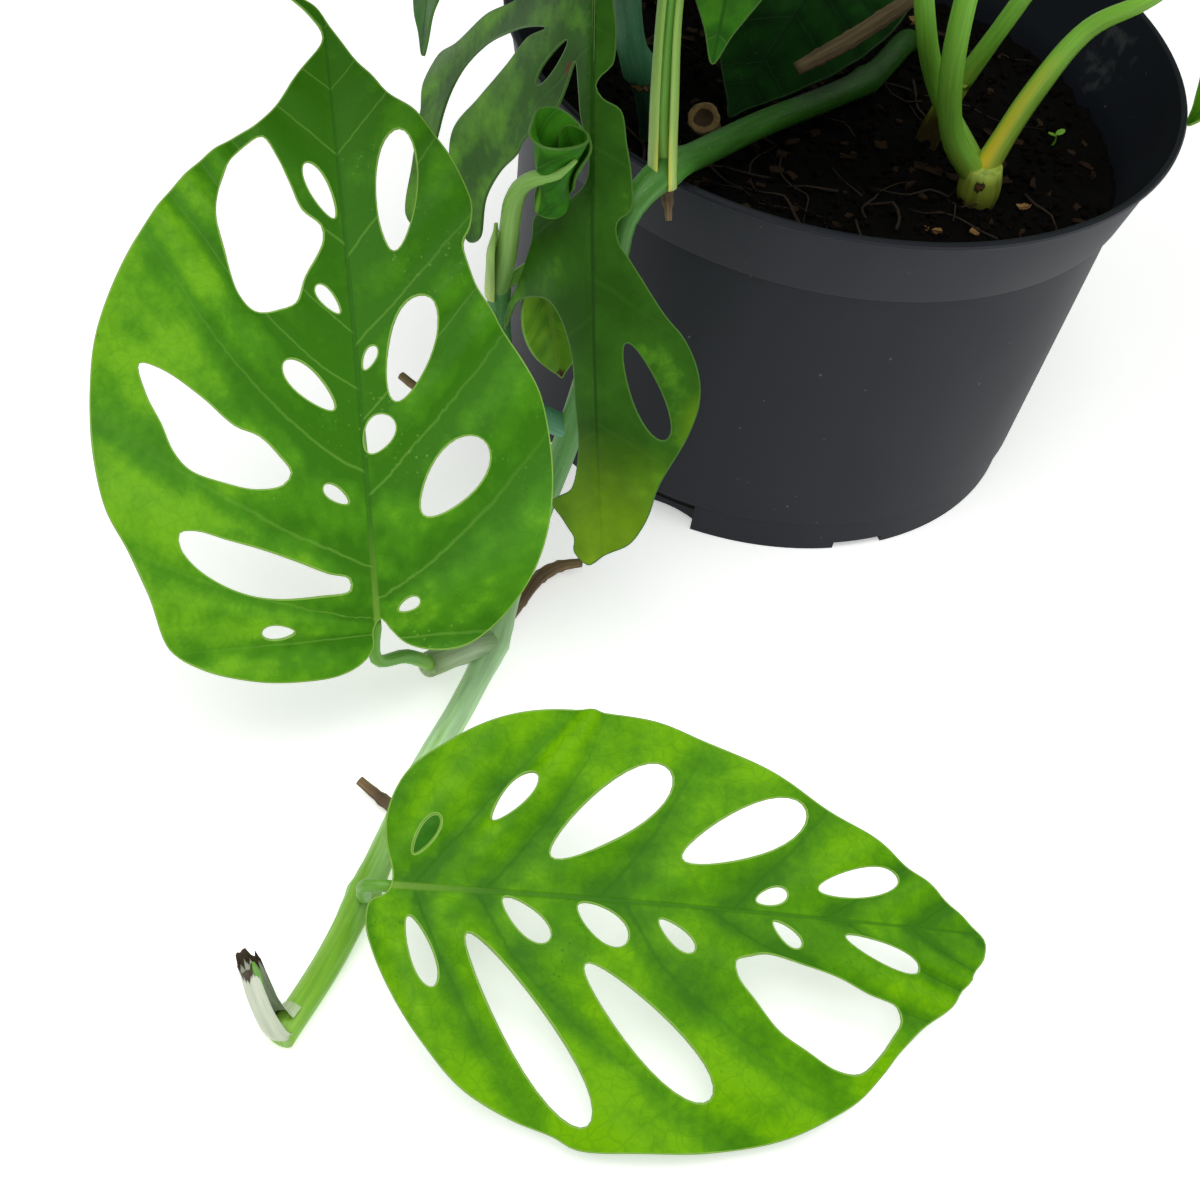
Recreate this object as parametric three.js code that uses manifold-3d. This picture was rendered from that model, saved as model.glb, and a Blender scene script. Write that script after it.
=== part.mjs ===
// Monstera adansonii in a round nursery pot, with one long vine trailing over the rim.
// Units are millimetres, +Z is up. The pot stands on the plane z = 0 with its axis on the Z axis.

import * as THREE from "three";
import { mergeVertices } from "three/addons/utils/BufferGeometryUtils.js";
import Module from "manifold-3d";

const wasm = await Module();
wasm.setup();

// ---------------------------------------------------------------- driving dimensions

const RIM_RADIUS = 85; // outer radius at the lip
const POT_HEIGHT = 110;
const COLLAR_DROP = 21; // height of the flared band under the lip
const COLLAR_FOOT_RADIUS = 79; // outer radius at the lower edge of that band
const BODY_TOP_RADIUS = 77.4;
const BODY_FOOT_RADIUS = 71.8;
const FOOT_HEIGHT = 10; // ring that the pot stands on
const FOOT_RADIUS = 71;
const WALL = 1.6;
const FLOOR_RISE = 4; // underside of the floor between the centre pad and the foot ring
const PAD_RADIUS = 26; // flat pad in the middle of the underside, level with the foot
const POT_SIDES = 42;
const DRAIN_RADIUS = 4;
const DRAIN_CIRCLE = 48;
const DRAINS = 6;
const NOTCHES = 3; // of each kind round the foot ring
const NOTCH = { width: 16, height: 8.5, from: 255 }; // drainage gap, with the compass of the first one
const LOW_NOTCH = { width: 14, height: 2, from: 298 };

const SOIL_LEVEL = 84; // mean height of the soil
const CLEARANCE = 0.3; // gap between pieces that touch
const SOCKET_DEPTH = 1.5; // how much deeper than the stem its hole in the soil is

const BLADE = 0.8; // leaf blade thickness
const KEEL = 0.9; // how far the midrib stands out below the blade
const VINE_RADIUS = 3.2;
const PETIOLE_TIP = 1.1; // petiole radius where it meets its blade
const PETIOLE_SEAT = 1.65; // depth of a petiole's end below the middle of its blade
const PETIOLE_REACH = 3.5; // how far it ends past the point where the basal lobes meet
const VEIN_SLOPE = 0.65; // how far a side vein runs forward for each mm outwards, at the midrib
const VEIN_CURVE = 0.0045; // how much more it leans forward further out
const SOIL_SIDES = 28;
const SOIL_RINGS = 5;

// ---------------------------------------------------------------- materials

const finish = (color, roughness) => new THREE.MeshStandardMaterial({ color, roughness, metalness: 0 });
const POT_PLASTIC = finish("#32353e", 0.55);
const SOIL = finish("#1d1714", 0.95);
const LEAF = finish("#3f8a1e", 0.42);
const DARK_LEAF = finish("#1f5a22", 0.4);
const YOUNG_LEAF = finish("#78a62b", 0.45);
const STEM = finish("#4f8a45", 0.45);
const BARK = finish("#6b4a33", 0.85);

// ---------------------------------------------------------------- solids

const model = new THREE.Group();

function addPart(name, geometry, material) {
  const mesh = new THREE.Mesh(geometry, material);
  mesh.name = name;
  model.add(mesh);
  return mesh;
}

function welded(geometry) {
  const plain = geometry.clone();
  plain.deleteAttribute("normal");
  plain.deleteAttribute("uv");
  return mergeVertices(plain, 1e-4);
}

function solidOf(geometry) {
  const plain = welded(geometry);
  const mesh = new wasm.Mesh({
    numProp: 3,
    vertProperties: new Float32Array(plain.attributes.position.array),
    triVerts: new Uint32Array(plain.index.array),
  });
  return new wasm.Manifold(mesh);
}

function geometryOf(solid) {
  const mesh = solid.getMesh();
  const geometry = new THREE.BufferGeometry();
  geometry.setAttribute("position", new THREE.BufferAttribute(mesh.vertProperties, 3));
  geometry.setIndex(new THREE.BufferAttribute(mesh.triVerts, 1));
  return geometry;
}

function fused(...geometries) {
  return geometryOf(geometries.map(solidOf).reduce((whole, next) => whole.add(next)));
}

function carved(geometry, cutters) {
  return geometryOf(cutters.map(solidOf).reduce((whole, next) => whole.subtract(next), solidOf(geometry)));
}

const vector = ([x, y, z]) => new THREE.Vector3(x, y, z);

// A round tube along a smooth curve through the points. radiusAt gives its radius from 0 to 1 along it.
// lead draws its first ring back past the first point.
function tube(points, radiusAt, sides = 8, stepLength = 10, lead = 0) {
  const curve = new THREE.CatmullRomCurve3(points.map(vector), false, "centripetal");
  const steps = Math.max(2, Math.round(curve.getLength() / stepLength));
  const corners = [];
  for (let i = 0; i < sides; i += 1) {
    const angle = (2 * Math.PI * i) / sides;
    corners.push(new THREE.Vector2(Math.cos(angle), Math.sin(angle)));
  }
  const section = new THREE.Shape(corners);
  const geometry = new THREE.ExtrudeGeometry(section, { steps, extrudePath: curve, bevelEnabled: false });
  const centres = curve.getSpacedPoints(steps);
  const position = geometry.attributes.position;
  const corner = new THREE.Vector3();
  const back = curve.getTangent(0).multiplyScalar(-lead);
  for (let i = 0; i < position.count; i += 1) {
    corner.fromBufferAttribute(position, i);
    const ring = nearest(centres, corner);
    corner.sub(centres[ring]).multiplyScalar(radiusAt(ring / steps)).add(centres[ring]);
    if (ring === 0) corner.add(back);
    position.setXYZ(i, corner.x, corner.y, corner.z);
  }
  return geometry;
}

// The ring of unit radius that a corner belongs to: its centre is exactly 1 mm away.
function nearest(centres, corner) {
  let best = 0;
  let error = Infinity;
  centres.forEach((centre, i) => {
    const miss = Math.abs(centre.distanceTo(corner) - 1);
    if (miss < error) {
      error = miss;
      best = i;
    }
  });
  return best;
}

const steady = (radius) => () => radius;
const taper = (from, to) => (t) => from + (to - from) * t;

function knot(point, radius) {
  return new THREE.IcosahedronGeometry(radius, 1).translate(...point);
}

// ---------------------------------------------------------------- leaf blades

const radians = THREE.MathUtils.degToRad;

// Seeded numbers from 0 to 1 for the leaves whose holes follow a rule.
function seeded(seed) {
  let state = seed;
  return () => {
    state = (state * 1664525 + 1013904223) % 4294967296;
    return state / 4294967296;
  };
}

// A smooth closed outline through hand-set points, with some samples for each stretch between them.
function closedOutline(points, samples) {
  const corners = points.map(([x, y]) => new THREE.Vector3(x, y, 0));
  const curve = new THREE.CatmullRomCurve3(corners, true, "centripetal");
  return curve.getPoints(points.length * samples).slice(0, -1).map((p) => new THREE.Vector2(p.x, p.y));
}

// A hole between two side veins: an egg with its blunt end away from the midrib.
function pod([x, y, length, width, turn], sides = 10) {
  const away = Math.sign(y) * Math.sign(turn) || 1;
  const angle = radians(turn);
  const outline = [];
  for (let i = 0; i < sides; i += 1) {
    const t = (2 * Math.PI * i) / sides;
    const along = (Math.cos(t) * length) / 2;
    const across = (Math.sin(t) * width * (1 + 0.25 * away * Math.cos(t))) / 2;
    const px = x + along * Math.cos(angle) - across * Math.sin(angle);
    const py = y + along * Math.sin(angle) + across * Math.cos(angle);
    outline.push(new THREE.Vector2(px, py));
  }
  return outline;
}

const cross = (a, b, c) => (b.x - a.x) * (c.y - a.y) - (b.y - a.y) * (c.x - a.x);

function inside(point, loop) {
  let hit = false;
  for (let i = 0, j = loop.length - 1; i < loop.length; j = i, i += 1) {
    const a = loop[i];
    const b = loop[j];
    if (a.y > point.y !== b.y > point.y && point.x < ((b.x - a.x) * (point.y - a.y)) / (b.y - a.y) + a.x) {
      hit = !hit;
    }
  }
  return hit;
}

// Points of the blade away from its edges: a row on the midrib, and a staggered grid.
function innerPoints(outline, holes, spacing) {
  const edge = [outline, ...holes].flat();
  const found = [];
  const keep = (point, room) => {
    const free = inside(point, outline) && !holes.some((hole) => inside(point, hole));
    if (free && ![...edge, ...found].some((other) => other.distanceTo(point) < room)) found.push(point);
  };
  const reach = Math.max(...outline.map((p) => p.x));
  for (let x = 4; x < reach; x += spacing * 0.8) keep(new THREE.Vector2(x, 0), 1.2);
  let row = 0;
  for (let y = -70; y < 70; y += spacing * 0.87) {
    row += 1;
    for (let x = -20 + (row % 2) * spacing * 0.5; x < reach; x += spacing) {
      keep(new THREE.Vector2(x, y), spacing * 0.5);
    }
  }
  return found;
}

// Triangles over the flat blade: ears cut between the edges, inner points put in, and edges flipped
// until none improves.
function bladeTriangles(outline, holes, inner) {
  const points = [outline, ...holes, inner].flat();
  const turned = ([a, b, c]) => (cross(points[a], points[b], points[c]) < 0 ? [a, c, b] : [a, b, c]);
  let faces = THREE.ShapeUtils.triangulateShape(outline, holes).map(turned);
  const first = points.length - inner.length;
  for (let p = first; p < points.length; p += 1) {
    const f = faces.findIndex(([a, b, c]) =>
      Math.min(cross(points[a], points[b], points[p]), cross(points[b], points[c], points[p]),
        cross(points[c], points[a], points[p])) > 1e-6);
    if (f < 0) continue;
    const [a, b, c] = faces[f];
    faces.splice(f, 1, [a, b, p], [b, c, p], [c, a, p]);
  }
  for (let pass = 0; pass < 60; pass += 1) {
    if (!flipEdges(points, faces)) break;
  }
  return { points, faces };
}

function flipEdges(points, faces) {
  const owner = new Map();
  faces.forEach(([a, b, c], f) => {
    [[a, b], [b, c], [c, a]].forEach(([from, to]) => owner.set(`${from} ${to}`, f));
  });
  const moved = new Set();
  for (const [edge, f] of owner) {
    const [a, b] = edge.split(" ").map(Number);
    const twin = owner.get(`${b} ${a}`);
    if (twin === undefined || moved.has(f) || moved.has(twin)) continue;
    const c = faces[f].find((v) => v !== a && v !== b);
    const d = faces[twin].find((v) => v !== a && v !== b);
    if (!shouldFlip(points[a], points[b], points[c], points[d])) continue;
    faces[f] = [c, a, d];
    faces[twin] = [d, b, c];
    moved.add(f).add(twin);
  }
  return moved.size;
}

// Whether d lies inside the circle through a, b and c, and the four form a convex shape.
function shouldFlip(a, b, c, d) {
  if (cross(c, a, d) < 1e-4 || cross(d, b, c) < 1e-4) return false;
  const [ax, ay, bx, by] = [a.x - d.x, a.y - d.y, b.x - d.x, b.y - d.y];
  const [cx, cy] = [c.x - d.x, c.y - d.y];
  const inCircle = (ax * ax + ay * ay) * (bx * cy - cx * by) - (bx * bx + by * by) * (ax * cy - cx * ay)
    + (cx * cx + cy * cy) * (ax * by - bx * ay);
  return inCircle > 1e-3;
}

// The bent surface of a leaf. x runs along the midrib, y across it, and z is the leaf's upper side.
function leafSurface(leaf) {
  const bend = radians(leaf.bend ?? 0) / leaf.length || 1e-9;
  const quilt = leaf.quilt ?? 0.8;
  const veinGap = leaf.veinGap ?? 17;
  const wave = leaf.wave ?? 1.2;
  return (x, y) => {
    const along = THREE.MathUtils.clamp(x / leaf.length, 0, 1);
    const [start, end] = (y >= 0 ? leaf.left : leaf.right) ?? [8, 4];
    const fold = radians(start + (end - start) * along);
    const cup = radians((y >= 0 ? leaf.cupLeft : leaf.cupRight) ?? 0.25);
    const out = Math.abs(y);
    const vein = (x - VEIN_SLOPE * out - VEIN_CURVE * out * out) / veinGap;
    const bulge = quilt * Math.sin(Math.PI * vein) ** 2 * Math.min(1, out / 12);
    const ripple = wave * Math.sin(x / 11 + (y > 0 ? 0 : 2)) * (out / 45) ** 2;
    const aside = ((Math.sin(fold) - Math.sin(fold - cup * out)) / cup) * Math.sign(y);
    const height = (Math.cos(fold - cup * out) - Math.cos(fold)) / cup + bulge + ripple;
    return new THREE.Vector3(
      Math.sin(bend * x) / bend + height * Math.sin(bend * x),
      aside,
      (Math.cos(bend * x) - 1) / bend + height * Math.cos(bend * x),
    );
  };
}

// A closed blade: the same triangles on both faces, walls along every edge, and a keel under the midrib.
function bladeGeometry({ points, faces }, surface, length, depth = KEEL) {
  const upper = [];
  const lower = [];
  points.forEach(({ x, y }) => {
    const middle = surface(x, y);
    const ahead = surface(x + 0.5, y).sub(middle);
    const aside = surface(x, y + (y < 0 ? -0.5 : 0.5)).sub(middle);
    const up = ahead.cross(aside).normalize();
    if (y < 0) up.negate();
    if (Math.abs(y) < 0.01) up.y = 0;
    up.normalize();
    const near = Math.max(0, 1 - (y / 2) ** 2);
    const started = Math.min(1, Math.max(0, x - 4) / 8);
    const keel = depth * near * started * Math.max(0, 1 - x / length);
    upper.push(middle.clone().addScaledVector(up, BLADE / 2));
    lower.push(middle.clone().addScaledVector(up, -BLADE / 2 - keel));
  });
  const count = points.length;
  const index = [];
  const edges = new Set(faces.flatMap(([a, b, c]) => [`${a} ${b}`, `${b} ${c}`, `${c} ${a}`]));
  faces.forEach(([a, b, c]) => {
    index.push(a, b, c, c + count, b + count, a + count);
    [[a, b], [b, c], [c, a]].forEach(([from, to]) => {
      if (!edges.has(`${to} ${from}`)) index.push(from, from + count, to + count, from, to + count, to);
    });
  });
  const geometry = new THREE.BufferGeometry().setFromPoints([...upper, ...lower]);
  geometry.setIndex(index);
  return geometry;
}

// Half of the usual outline of the species, as shares of its length and its half width.
const HALF_OUTLINE = [
  [0.015, 0.03], [-0.03, 0.12], [-0.06, 0.34], [-0.03, 0.62], [0.07, 0.86], [0.2, 0.98], [0.34, 1],
  [0.48, 0.92], [0.62, 0.76], [0.75, 0.54], [0.86, 0.31], [0.94, 0.12],
];

function usualOutline(length, left, right) {
  const leftHalf = HALF_OUTLINE.map(([x, y]) => [x * length, y * left]);
  const rightHalf = HALF_OUTLINE.map(([x, y]) => [x * length, -y * right]).reverse();
  return [...leftHalf, [length, 0], ...rightHalf];
}

// Long holes between the side veins of each half and a few small ones next to the midrib.
function usualHoles(length, left, right, seed) {
  const random = seeded(seed);
  const holes = [];
  [left, -right].forEach((half) => {
    for (let i = 0; i < 4; i += 1) {
      const root = length * (0.05 + 0.165 * i + 0.03 * random());
      const room = Math.abs(half) * (1 - 1.3 * (root / length) ** 1.6);
      const out = room * (0.5 + 0.05 * random());
      const slope = VEIN_SLOPE + 2 * VEIN_CURVE * out;
      const x = root + VEIN_SLOPE * out + VEIN_CURVE * out * out;
      const span = room * (0.46 + 0.1 * random()) * Math.hypot(1, slope);
      const width = (5.5 + 3 * random()) * Math.min(1, room / 30);
      const turn = THREE.MathUtils.radToDeg(Math.atan2(1, slope));
      holes.push([x, Math.sign(half) * out, span, width, Math.sign(half) * turn]);
    }
    const between = random() < 0.5 ? 1.5 : 2.5;
    holes.push([length * (0.065 + 0.165 * between) + 3, Math.sign(half) * 5, 6, 3.2, Math.sign(half) * 50]);
  });
  return holes;
}

function leafGeometry(leaf) {
  const left = leaf.width?.[0] ?? leaf.length * 0.34;
  const right = leaf.width?.[1] ?? leaf.length * 0.31;
  const outline = closedOutline(leaf.outline ?? usualOutline(leaf.length, left, right), leaf.samples ?? 2);
  const pods = leaf.holes ?? usualHoles(leaf.length, left, right, leaf.seed);
  const holes = pods.map((hole) => pod(hole, hole[2] > 12 ? leaf.podSides ?? 6 : 6));
  (leaf.gaps ?? []).forEach((gap) => holes.push(closedOutline(gap, 1)));
  const inner = innerPoints(outline, holes, leaf.spacing ?? 20);
  return bladeGeometry(bladeTriangles(outline, holes, inner), leafSurface(leaf), leaf.length);
}

// ---------------------------------------------------------------- the leaves

// at: where the petiole meets the blade. heading: compass of the midrib from +X, anticlockwise.
// rise: its slope at the base. roll: turn about the midrib, left side up. Angles are in degrees.
const LEAVES = [
  {
    name: "leaf_trailing_upper", at: [-74.8, -160, 35.5], heading: 113.6, rise: 47, roll: 0, length: 134,
    bend: 12, left: [8, 4], right: [16, 10], cupLeft: 0.1, cupRight: 0.1, quilt: 0.9, veinGap: 18,
    spacing: 13, podSides: 10,
    outline: [
      [135, 3], [140, 8], [137, 1.5], [132, -1.5], [126, -5], [117, -12], [112, -17.5], [105, -22.5], [97, -26],
      [91, -28], [86, -27], [82.5, -25], [78, -25.5], [70, -28.5], [56, -35.5], [48, -39], [38, -40.5],
      [28, -40], [18, -37.5], [9, -33], [0.5, -25.5], [-3.5, -19], [-4.2, -12], [-2.5, -6], [1, -2.6],
      [3.2, -0.9], [1, 0.9], [-3, 1.2], [-6, 4], [-8, 9], [-8.5, 17], [-7.5, 27], [-4, 38], [1, 45],
      [13, 48.5], [22, 51.7], [31, 55.6], [42, 57], [56, 56.4], [68, 54], [84, 46], [95.5, 37.3], [104, 28],
      [108, 21.5], [110, 17.5], [114.5, 12.5], [122, 6.8], [130, 0.5],
    ],
    holes: [
      [96, 4.5, 13, 4.5, 23], [95, -11.8, 26.5, 8.6, -8], [72.5, 5, 7.5, 3, 37], [59.5, -2.8, 5.5, 2.5, -28],
      [60.8, -11.6, 23.5, 9.4, -20], [54.2, 10.8, 14.5, 5.8, 43], [43, -3.3, 9, 6, -31],
      [32.5, -18.5, 20.5, 10.6, -43], [30.7, 7, 6.5, 3, 53], [2.5, 22, 7, 3, 85], [6, -7, 5, 2.5, -64],
    ],
    gaps: [
      [
        [107.5, 16], [103.5, 13.5], [97.5, 11], [92, 8.8], [88.5, 5], [85.5, 4.8], [82, 6.5], [77.5, 9.6],
        [72, 12], [70.5, 16], [70.5, 21], [74, 24], [82, 26], [91, 27.4], [97, 26], [102.5, 23.3], [106, 19.5],
      ],
      [
        [60.5, 46], [59, 41.5], [53, 34], [46.5, 27.5], [44, 22.4], [39.6, 18.6], [36, 16.5], [33.5, 18.5],
        [33, 24], [35, 31], [38, 37.5], [42, 40.5], [48, 42.5], [54, 45],
      ],
      [
        [25, 41], [25.2, 37.5], [23, 31.5], [20.5, 24.5], [17.3, 17], [14, 10], [12.5, 5.5], [10, 5.5],
        [9.3, 12], [9.5, 21], [11, 27.5], [14, 33.5], [18, 38.4], [22, 41],
      ],
    ],
  },
  {
    name: "leaf_trailing_lower", at: [-60.4, -217, 26], heading: 8, rise: 4, roll: 24, length: 128,
    bend: 14, left: [2, 0], right: [4, 0], cupLeft: 0.15, cupRight: 0.22, quilt: 2, veinGap: 17,
    spacing: 13, podSides: 10,
    outline: [
      [128.6, -2], [124, 2.6], [115, 9.6], [104, 17], [88, 25.5], [74, 32.3], [60, 37.2], [46, 39.7],
      [34, 39.4], [22, 36], [12, 30.6], [4, 24], [0.5, 15.5], [0.8, 8.5], [2.6, 1.6], [1.5, -1.8],
      [-1.5, -3.4], [-2, -8], [0, -14], [5, -23], [11, -31], [19, -39], [30, -44.6], [38, -47.2],
      [43, -49.5], [55, -49.6], [69, -48.6], [83, -45.7], [92, -41.8], [101, -36.3], [105.6, -30.8],
      [108.5, -26.4], [113, -21.8], [119, -17], [124, -11],
    ],
    holes: [
      [8.7, 10.5, 9.3, 3.5, 61], [25.9, 19.7, 13.3, 4.6, 52], [46.3, 18, 31.5, 10.5, 40],
      [74.5, 16, 29.5, 10, 26], [80.6, 3.5, 6.8, 3.5, 18], [99.4, 8, 18.5, 5.8, 13], [9.4, -13, 15, 4.5, -67],
      [31.4, -26.9, 44.5, 9.5, -54], [29.9, -5.2, 12.5, 5, -41], [55.5, -26, 36.3, 9, -43],
      [45.5, -4.9, 12.3, 6.2, -35], [60.7, -6.2, 9.3, 3.5, -40], [84, -4, 7.5, 3, -39],
      [105, -6, 17.3, 4.2, -19],
    ],
    gaps: [[
      [73, -10.5], [76.5, -9], [80, -8.3], [88, -10], [95.5, -12], [102, -14.7], [108.6, -17], [109.4, -19.5],
      [107, -23.2], [104.6, -27], [101, -30.8], [96, -30.5], [89, -27], [83, -23.6], [77.5, -18], [73.5, -13.4],
    ]],
  },
  {
    name: "leaf_hanging", at: [-60.5, -71, 169], heading: -72, rise: -56, roll: 35, length: 147, bend: 14,
    left: [-60, -6], right: [-38, -14], cupLeft: 0.1, cupRight: 0.1, quilt: 0.7, samples: 1, spacing: 13,
    podSides: 10, seat: 3,
    outline: [
      [144.5, -4.5], [141, 0.5], [138, 6.3], [133, 10], [123, 14], [113, 20], [106, 22.6], [99.5, 22.5],
      [92, 19.7], [86.5, 15.5], [79, 11], [74, 8], [70.5, 5.8], [66.5, 5.6], [64, 8.6], [58, 8.8], [50.5, 7.8],
      [43.5, 6.6], [41, 2.4], [38.5, 0.9], [36.5, 2.2], [34.5, 4.6], [28, 5.4], [19, 4.8], [8, 9], [-3, 8],
      [-4, 3], [2, 1.5], [2, -1.5], [-4, -5], [-5, -12], [1, -19], [12, -24], [20, -30], [25, -48], [31.5, -62.5],
      [35, -73], [41, -76.4], [49, -73.5], [61, -70.5], [73, -71], [75, -68], [66, -65.5], [58, -63],
      [53, -62], [48, -62], [43, -60.9], [37.6, -57], [31.8, -47], [29, -37], [27.4, -27.5], [27.5, -18.5],
      [29.5, -26], [35.3, -34.1], [43.4, -45.5], [51.5, -55], [62, -53], [71, -48.5], [76, -43.5], [74.3, -39.5],
      [65.2, -38.2], [58.9, -33.6], [54.4, -27.4], [51.5, -25.5], [48.3, -20], [44, -13.2], [39.3, -9.9],
      [34, -6.6], [39.9, -5], [45, -4], [51.4, -1.4], [56.6, -1.4], [59.3, -3.2], [63.8, -10.8], [67.5, -19.8],
      [72.5, -20.6], [83.5, -25.4], [89.5, -29], [94, -29.4], [87.3, -25.5], [85, -20], [85, -13.8], [89, -10],
      [97, -6.8], [106, -6.2], [117.4, -5.7], [126.5, -8], [131, -14], [135.5, -10.4], [138.2, -7.8],
      [142, -8.1],
    ],
    holes: [[103, 11, 23, 6.4, 20], [34.5, -15.5, 15, 3.2, -52]],
  },
  {
    name: "leaf_front_top", at: [20, -38, 246], heading: -103, rise: 2, roll: 6, length: 128, bend: 34, seed: 3,
  },
  {
    name: "leaf_left_front", at: [-46, -60, 226], heading: -158, rise: 8, roll: -10, length: 132, bend: 40,
    seed: 14,
  },
  {
    name: "leaf_left_back", at: [-22, 26, 236], heading: 160, rise: 22, roll: 6, length: 126, bend: 45, seed: 25,
  },
  {
    name: "leaf_left_top", at: [-58, -8, 270], heading: -178, rise: 34, roll: -16, length: 118, bend: 48,
    seed: 36,
  },
  {
    name: "leaf_right_top", at: [86, 24, 240], heading: 8, rise: 18, roll: 12, length: 122, bend: 46, seed: 47,
  },
  {
    name: "leaf_back", at: [4, 86, 238], heading: 84, rise: 14, roll: -8, length: 134, bend: 44, seed: 58,
  },
  {
    name: "leaf_right_back", at: [44, 76, 232], heading: 32, rise: 16, roll: -6, length: 124, bend: 44, seed: 69,
  },
  {
    name: "leaf_top", at: [-4, 26, 286], heading: 62, rise: 40, roll: 10, length: 104, bend: 46, seed: 77,
  },
  {
    name: "leaf_right_front", at: [98, 6, 168], heading: -42, rise: 6, roll: -20, length: 118, bend: 42,
    seed: 81,
  },
  {
    name: "leaf_right_low", at: [138, 44, 152], heading: -140, rise: -26, roll: 12, length: 84, bend: 16,
    seed: 92,
  },
  {
    name: "leaf_centre_hanging", at: [-33, -6, 225.5], heading: -88, rise: -46, roll: 0, length: 112, bend: 10,
    width: [26, 26], seed: 103,
  },
  {
    name: "leaf_left_hanging", at: [-83.5, -30, 210], heading: -107, rise: -42, roll: 52, length: 98, bend: 22,
    seed: 114,
  },
  {
    name: "leaf_young_solid", at: [-3, 27, 120], heading: -112, rise: -18, roll: 0, length: 62, bend: 14,
    width: [24, 22], holes: [], dark: true, quilt: 0.4,
  },
  {
    name: "leaf_young_folded", at: [-57, -91, 85], heading: -8, rise: -72, roll: 60, length: 28, bend: 8,
    width: [8, 8], holes: [], young: true, left: [35, 25], right: [35, 25], quilt: 0, wave: 0, samples: 1,
    spacing: 8,
  },
];

function placed(object, leaf) {
  object.position.set(...leaf.at);
  object.rotation.set(radians(leaf.roll), radians(-leaf.rise), radians(leaf.heading), "ZYX");
  return object;
}

const leafNamed = (name) => LEAVES.find((leaf) => leaf.name === name);

for (const leaf of LEAVES) {
  const material = leaf.dark ? DARK_LEAF : leaf.young ? YOUNG_LEAF : LEAF;
  placed(addPart(leaf.name, leafGeometry(leaf), material), leaf);
}

// A point given in the axes of a placed leaf, in the plant's axes.
function fromFrame(leaf, x, y, z) {
  const marker = placed(new THREE.Object3D(), leaf);
  marker.updateMatrix();
  return new THREE.Vector3(x, y, z).applyMatrix4(marker.matrix).toArray();
}

// The last two points of a petiole: it comes up from behind and ends just under the blade.
function petioleEnd(name, back = 9) {
  const leaf = leafNamed(name);
  const seat = leaf.seat ?? PETIOLE_SEAT;
  return [fromFrame(leaf, -back, 0, -back * 0.8), fromFrame(leaf, PETIOLE_REACH, 0, -seat)];
}

function petiole(name, points, radius = 1.9, back = 9) {
  return tube([...points, ...petioleEnd(name, back)], taper(radius, PETIOLE_TIP), 6, 15);
}

// ---------------------------------------------------------------- the rolled new leaf

const ROLLED = { at: [-56.5, -103.5, 109], heading: -100, rise: 84, roll: -50, height: 29, turns: 1.3 };
const ROLLED_SEAT = [8, 0, -4]; // where the petiole meets the outside of the roll, in its own axes

function rolledLeaf() {
  const { height, turns } = ROLLED;
  const outline = closedOutline([
    [0, -9], [0, 0], [0, 9], [8, 15], [17, 20], [24, 20], [27, 12], [29, 0], [26, -10], [22, -18], [14, -18],
    [7, -13],
  ], 2);
  const inner = innerPoints(outline, [], 5);
  const surface = (x, y) => {
    const flare = 2.6 + (4.2 * Math.max(0, x)) / height;
    const angle = (y / 19) * Math.PI * turns;
    const radius = flare * (1 - (0.4 * (y + 20)) / 40);
    return new THREE.Vector3(x, radius * Math.sin(angle), -radius * Math.cos(angle));
  };
  return bladeGeometry(bladeTriangles(outline, [], inner), surface, height, 0);
}

placed(addPart("leaf_rolled", rolledLeaf(), YOUNG_LEAF), ROLLED);

// ---------------------------------------------------------------- stems

// Each stem or root is a route with its radius at both ends, its number of sides and its ring spacing.
const VINE = {
  route: [
    [24, 54, 60], [20, 45, 84], [8, 8, 92], [-16, -33, 99], [-31, -67, 110.4], [-36, -79, 115.4],
    [-40, -89.5, 112], [-42, -95, 100], [-43, -97.5, 76], [-44, -98.5, 50], [-46, -104, 28], [-49, -114, 12],
    [-52, -129, 6], [-55, -147, 3.8], [-60, -170, 3.6], [-63, -190, 3.6], [-65, -205, 3.8], [-68, -223, 3.6],
    [-73, -243, 4.2],
  ],
  radius: [VINE_RADIUS, VINE_RADIUS], sides: 8, spacing: 13,
};
const SHOOT = {
  route: [[-44, -98.5, 50], [-55, -99, 55], [-62.5, -97.5, 66], [-66.5, -93, 82]],
  radius: [2.6, 2.4], sides: 8, spacing: 8,
};
const CROWN = {
  route: [[41, -17, 60], [40, -21, 82], [39, -23, 95]],
  radius: [4.6, 4.2], sides: 8, spacing: 12,
};
const BACK_CROWN = {
  route: [[26, 4, 60], [27, 2, 84], [30, -2, 105]],
  radius: [3.4, 2.8], sides: 8, spacing: 12,
};
const LEFT_STEM = {
  route: [
    [-41, -19, 60], [-41, -25, 84], [-44, -38, 105], [-50, -54, 128], [-54, -57, 152], [-60, -47, 190],
    [-69, -34, 224],
  ],
  radius: [3.6, 2.8], sides: 8, spacing: 14,
};
const BACK_STEM = {
  route: [[12, 62, 60], [11, 62, 84], [8, 60, 140], [2, 50, 200], [-2, 38, 240]],
  radius: [3.5, 2.7], sides: 7, spacing: 20,
};
const YOUNG_STALK = {
  route: [[0, 34, 60], [0, 34, 84], [1, 34, 104]],
  radius: [1.8, 1.4], sides: 6, spacing: 14,
};
const STUMP = {
  route: [[-27, -14, 60], [-28, -22, 84], [-30, -32, 97]],
  radius: [3.6, 3.6], sides: 9, spacing: 12,
};
const THICK_ROOT = {
  route: [
    [-11, -22.6, 109.4], [-6.3, -20, 112.4], [-0.2, -17, 116.8], [6, -13, 121.5], [12.6, -8, 127.5],
    [15, 18, 133], [13, 44, 135], [9, 60, 131],
  ],
  radius: [1.8, 2.2], sides: 8, spacing: 9,
};
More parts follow.
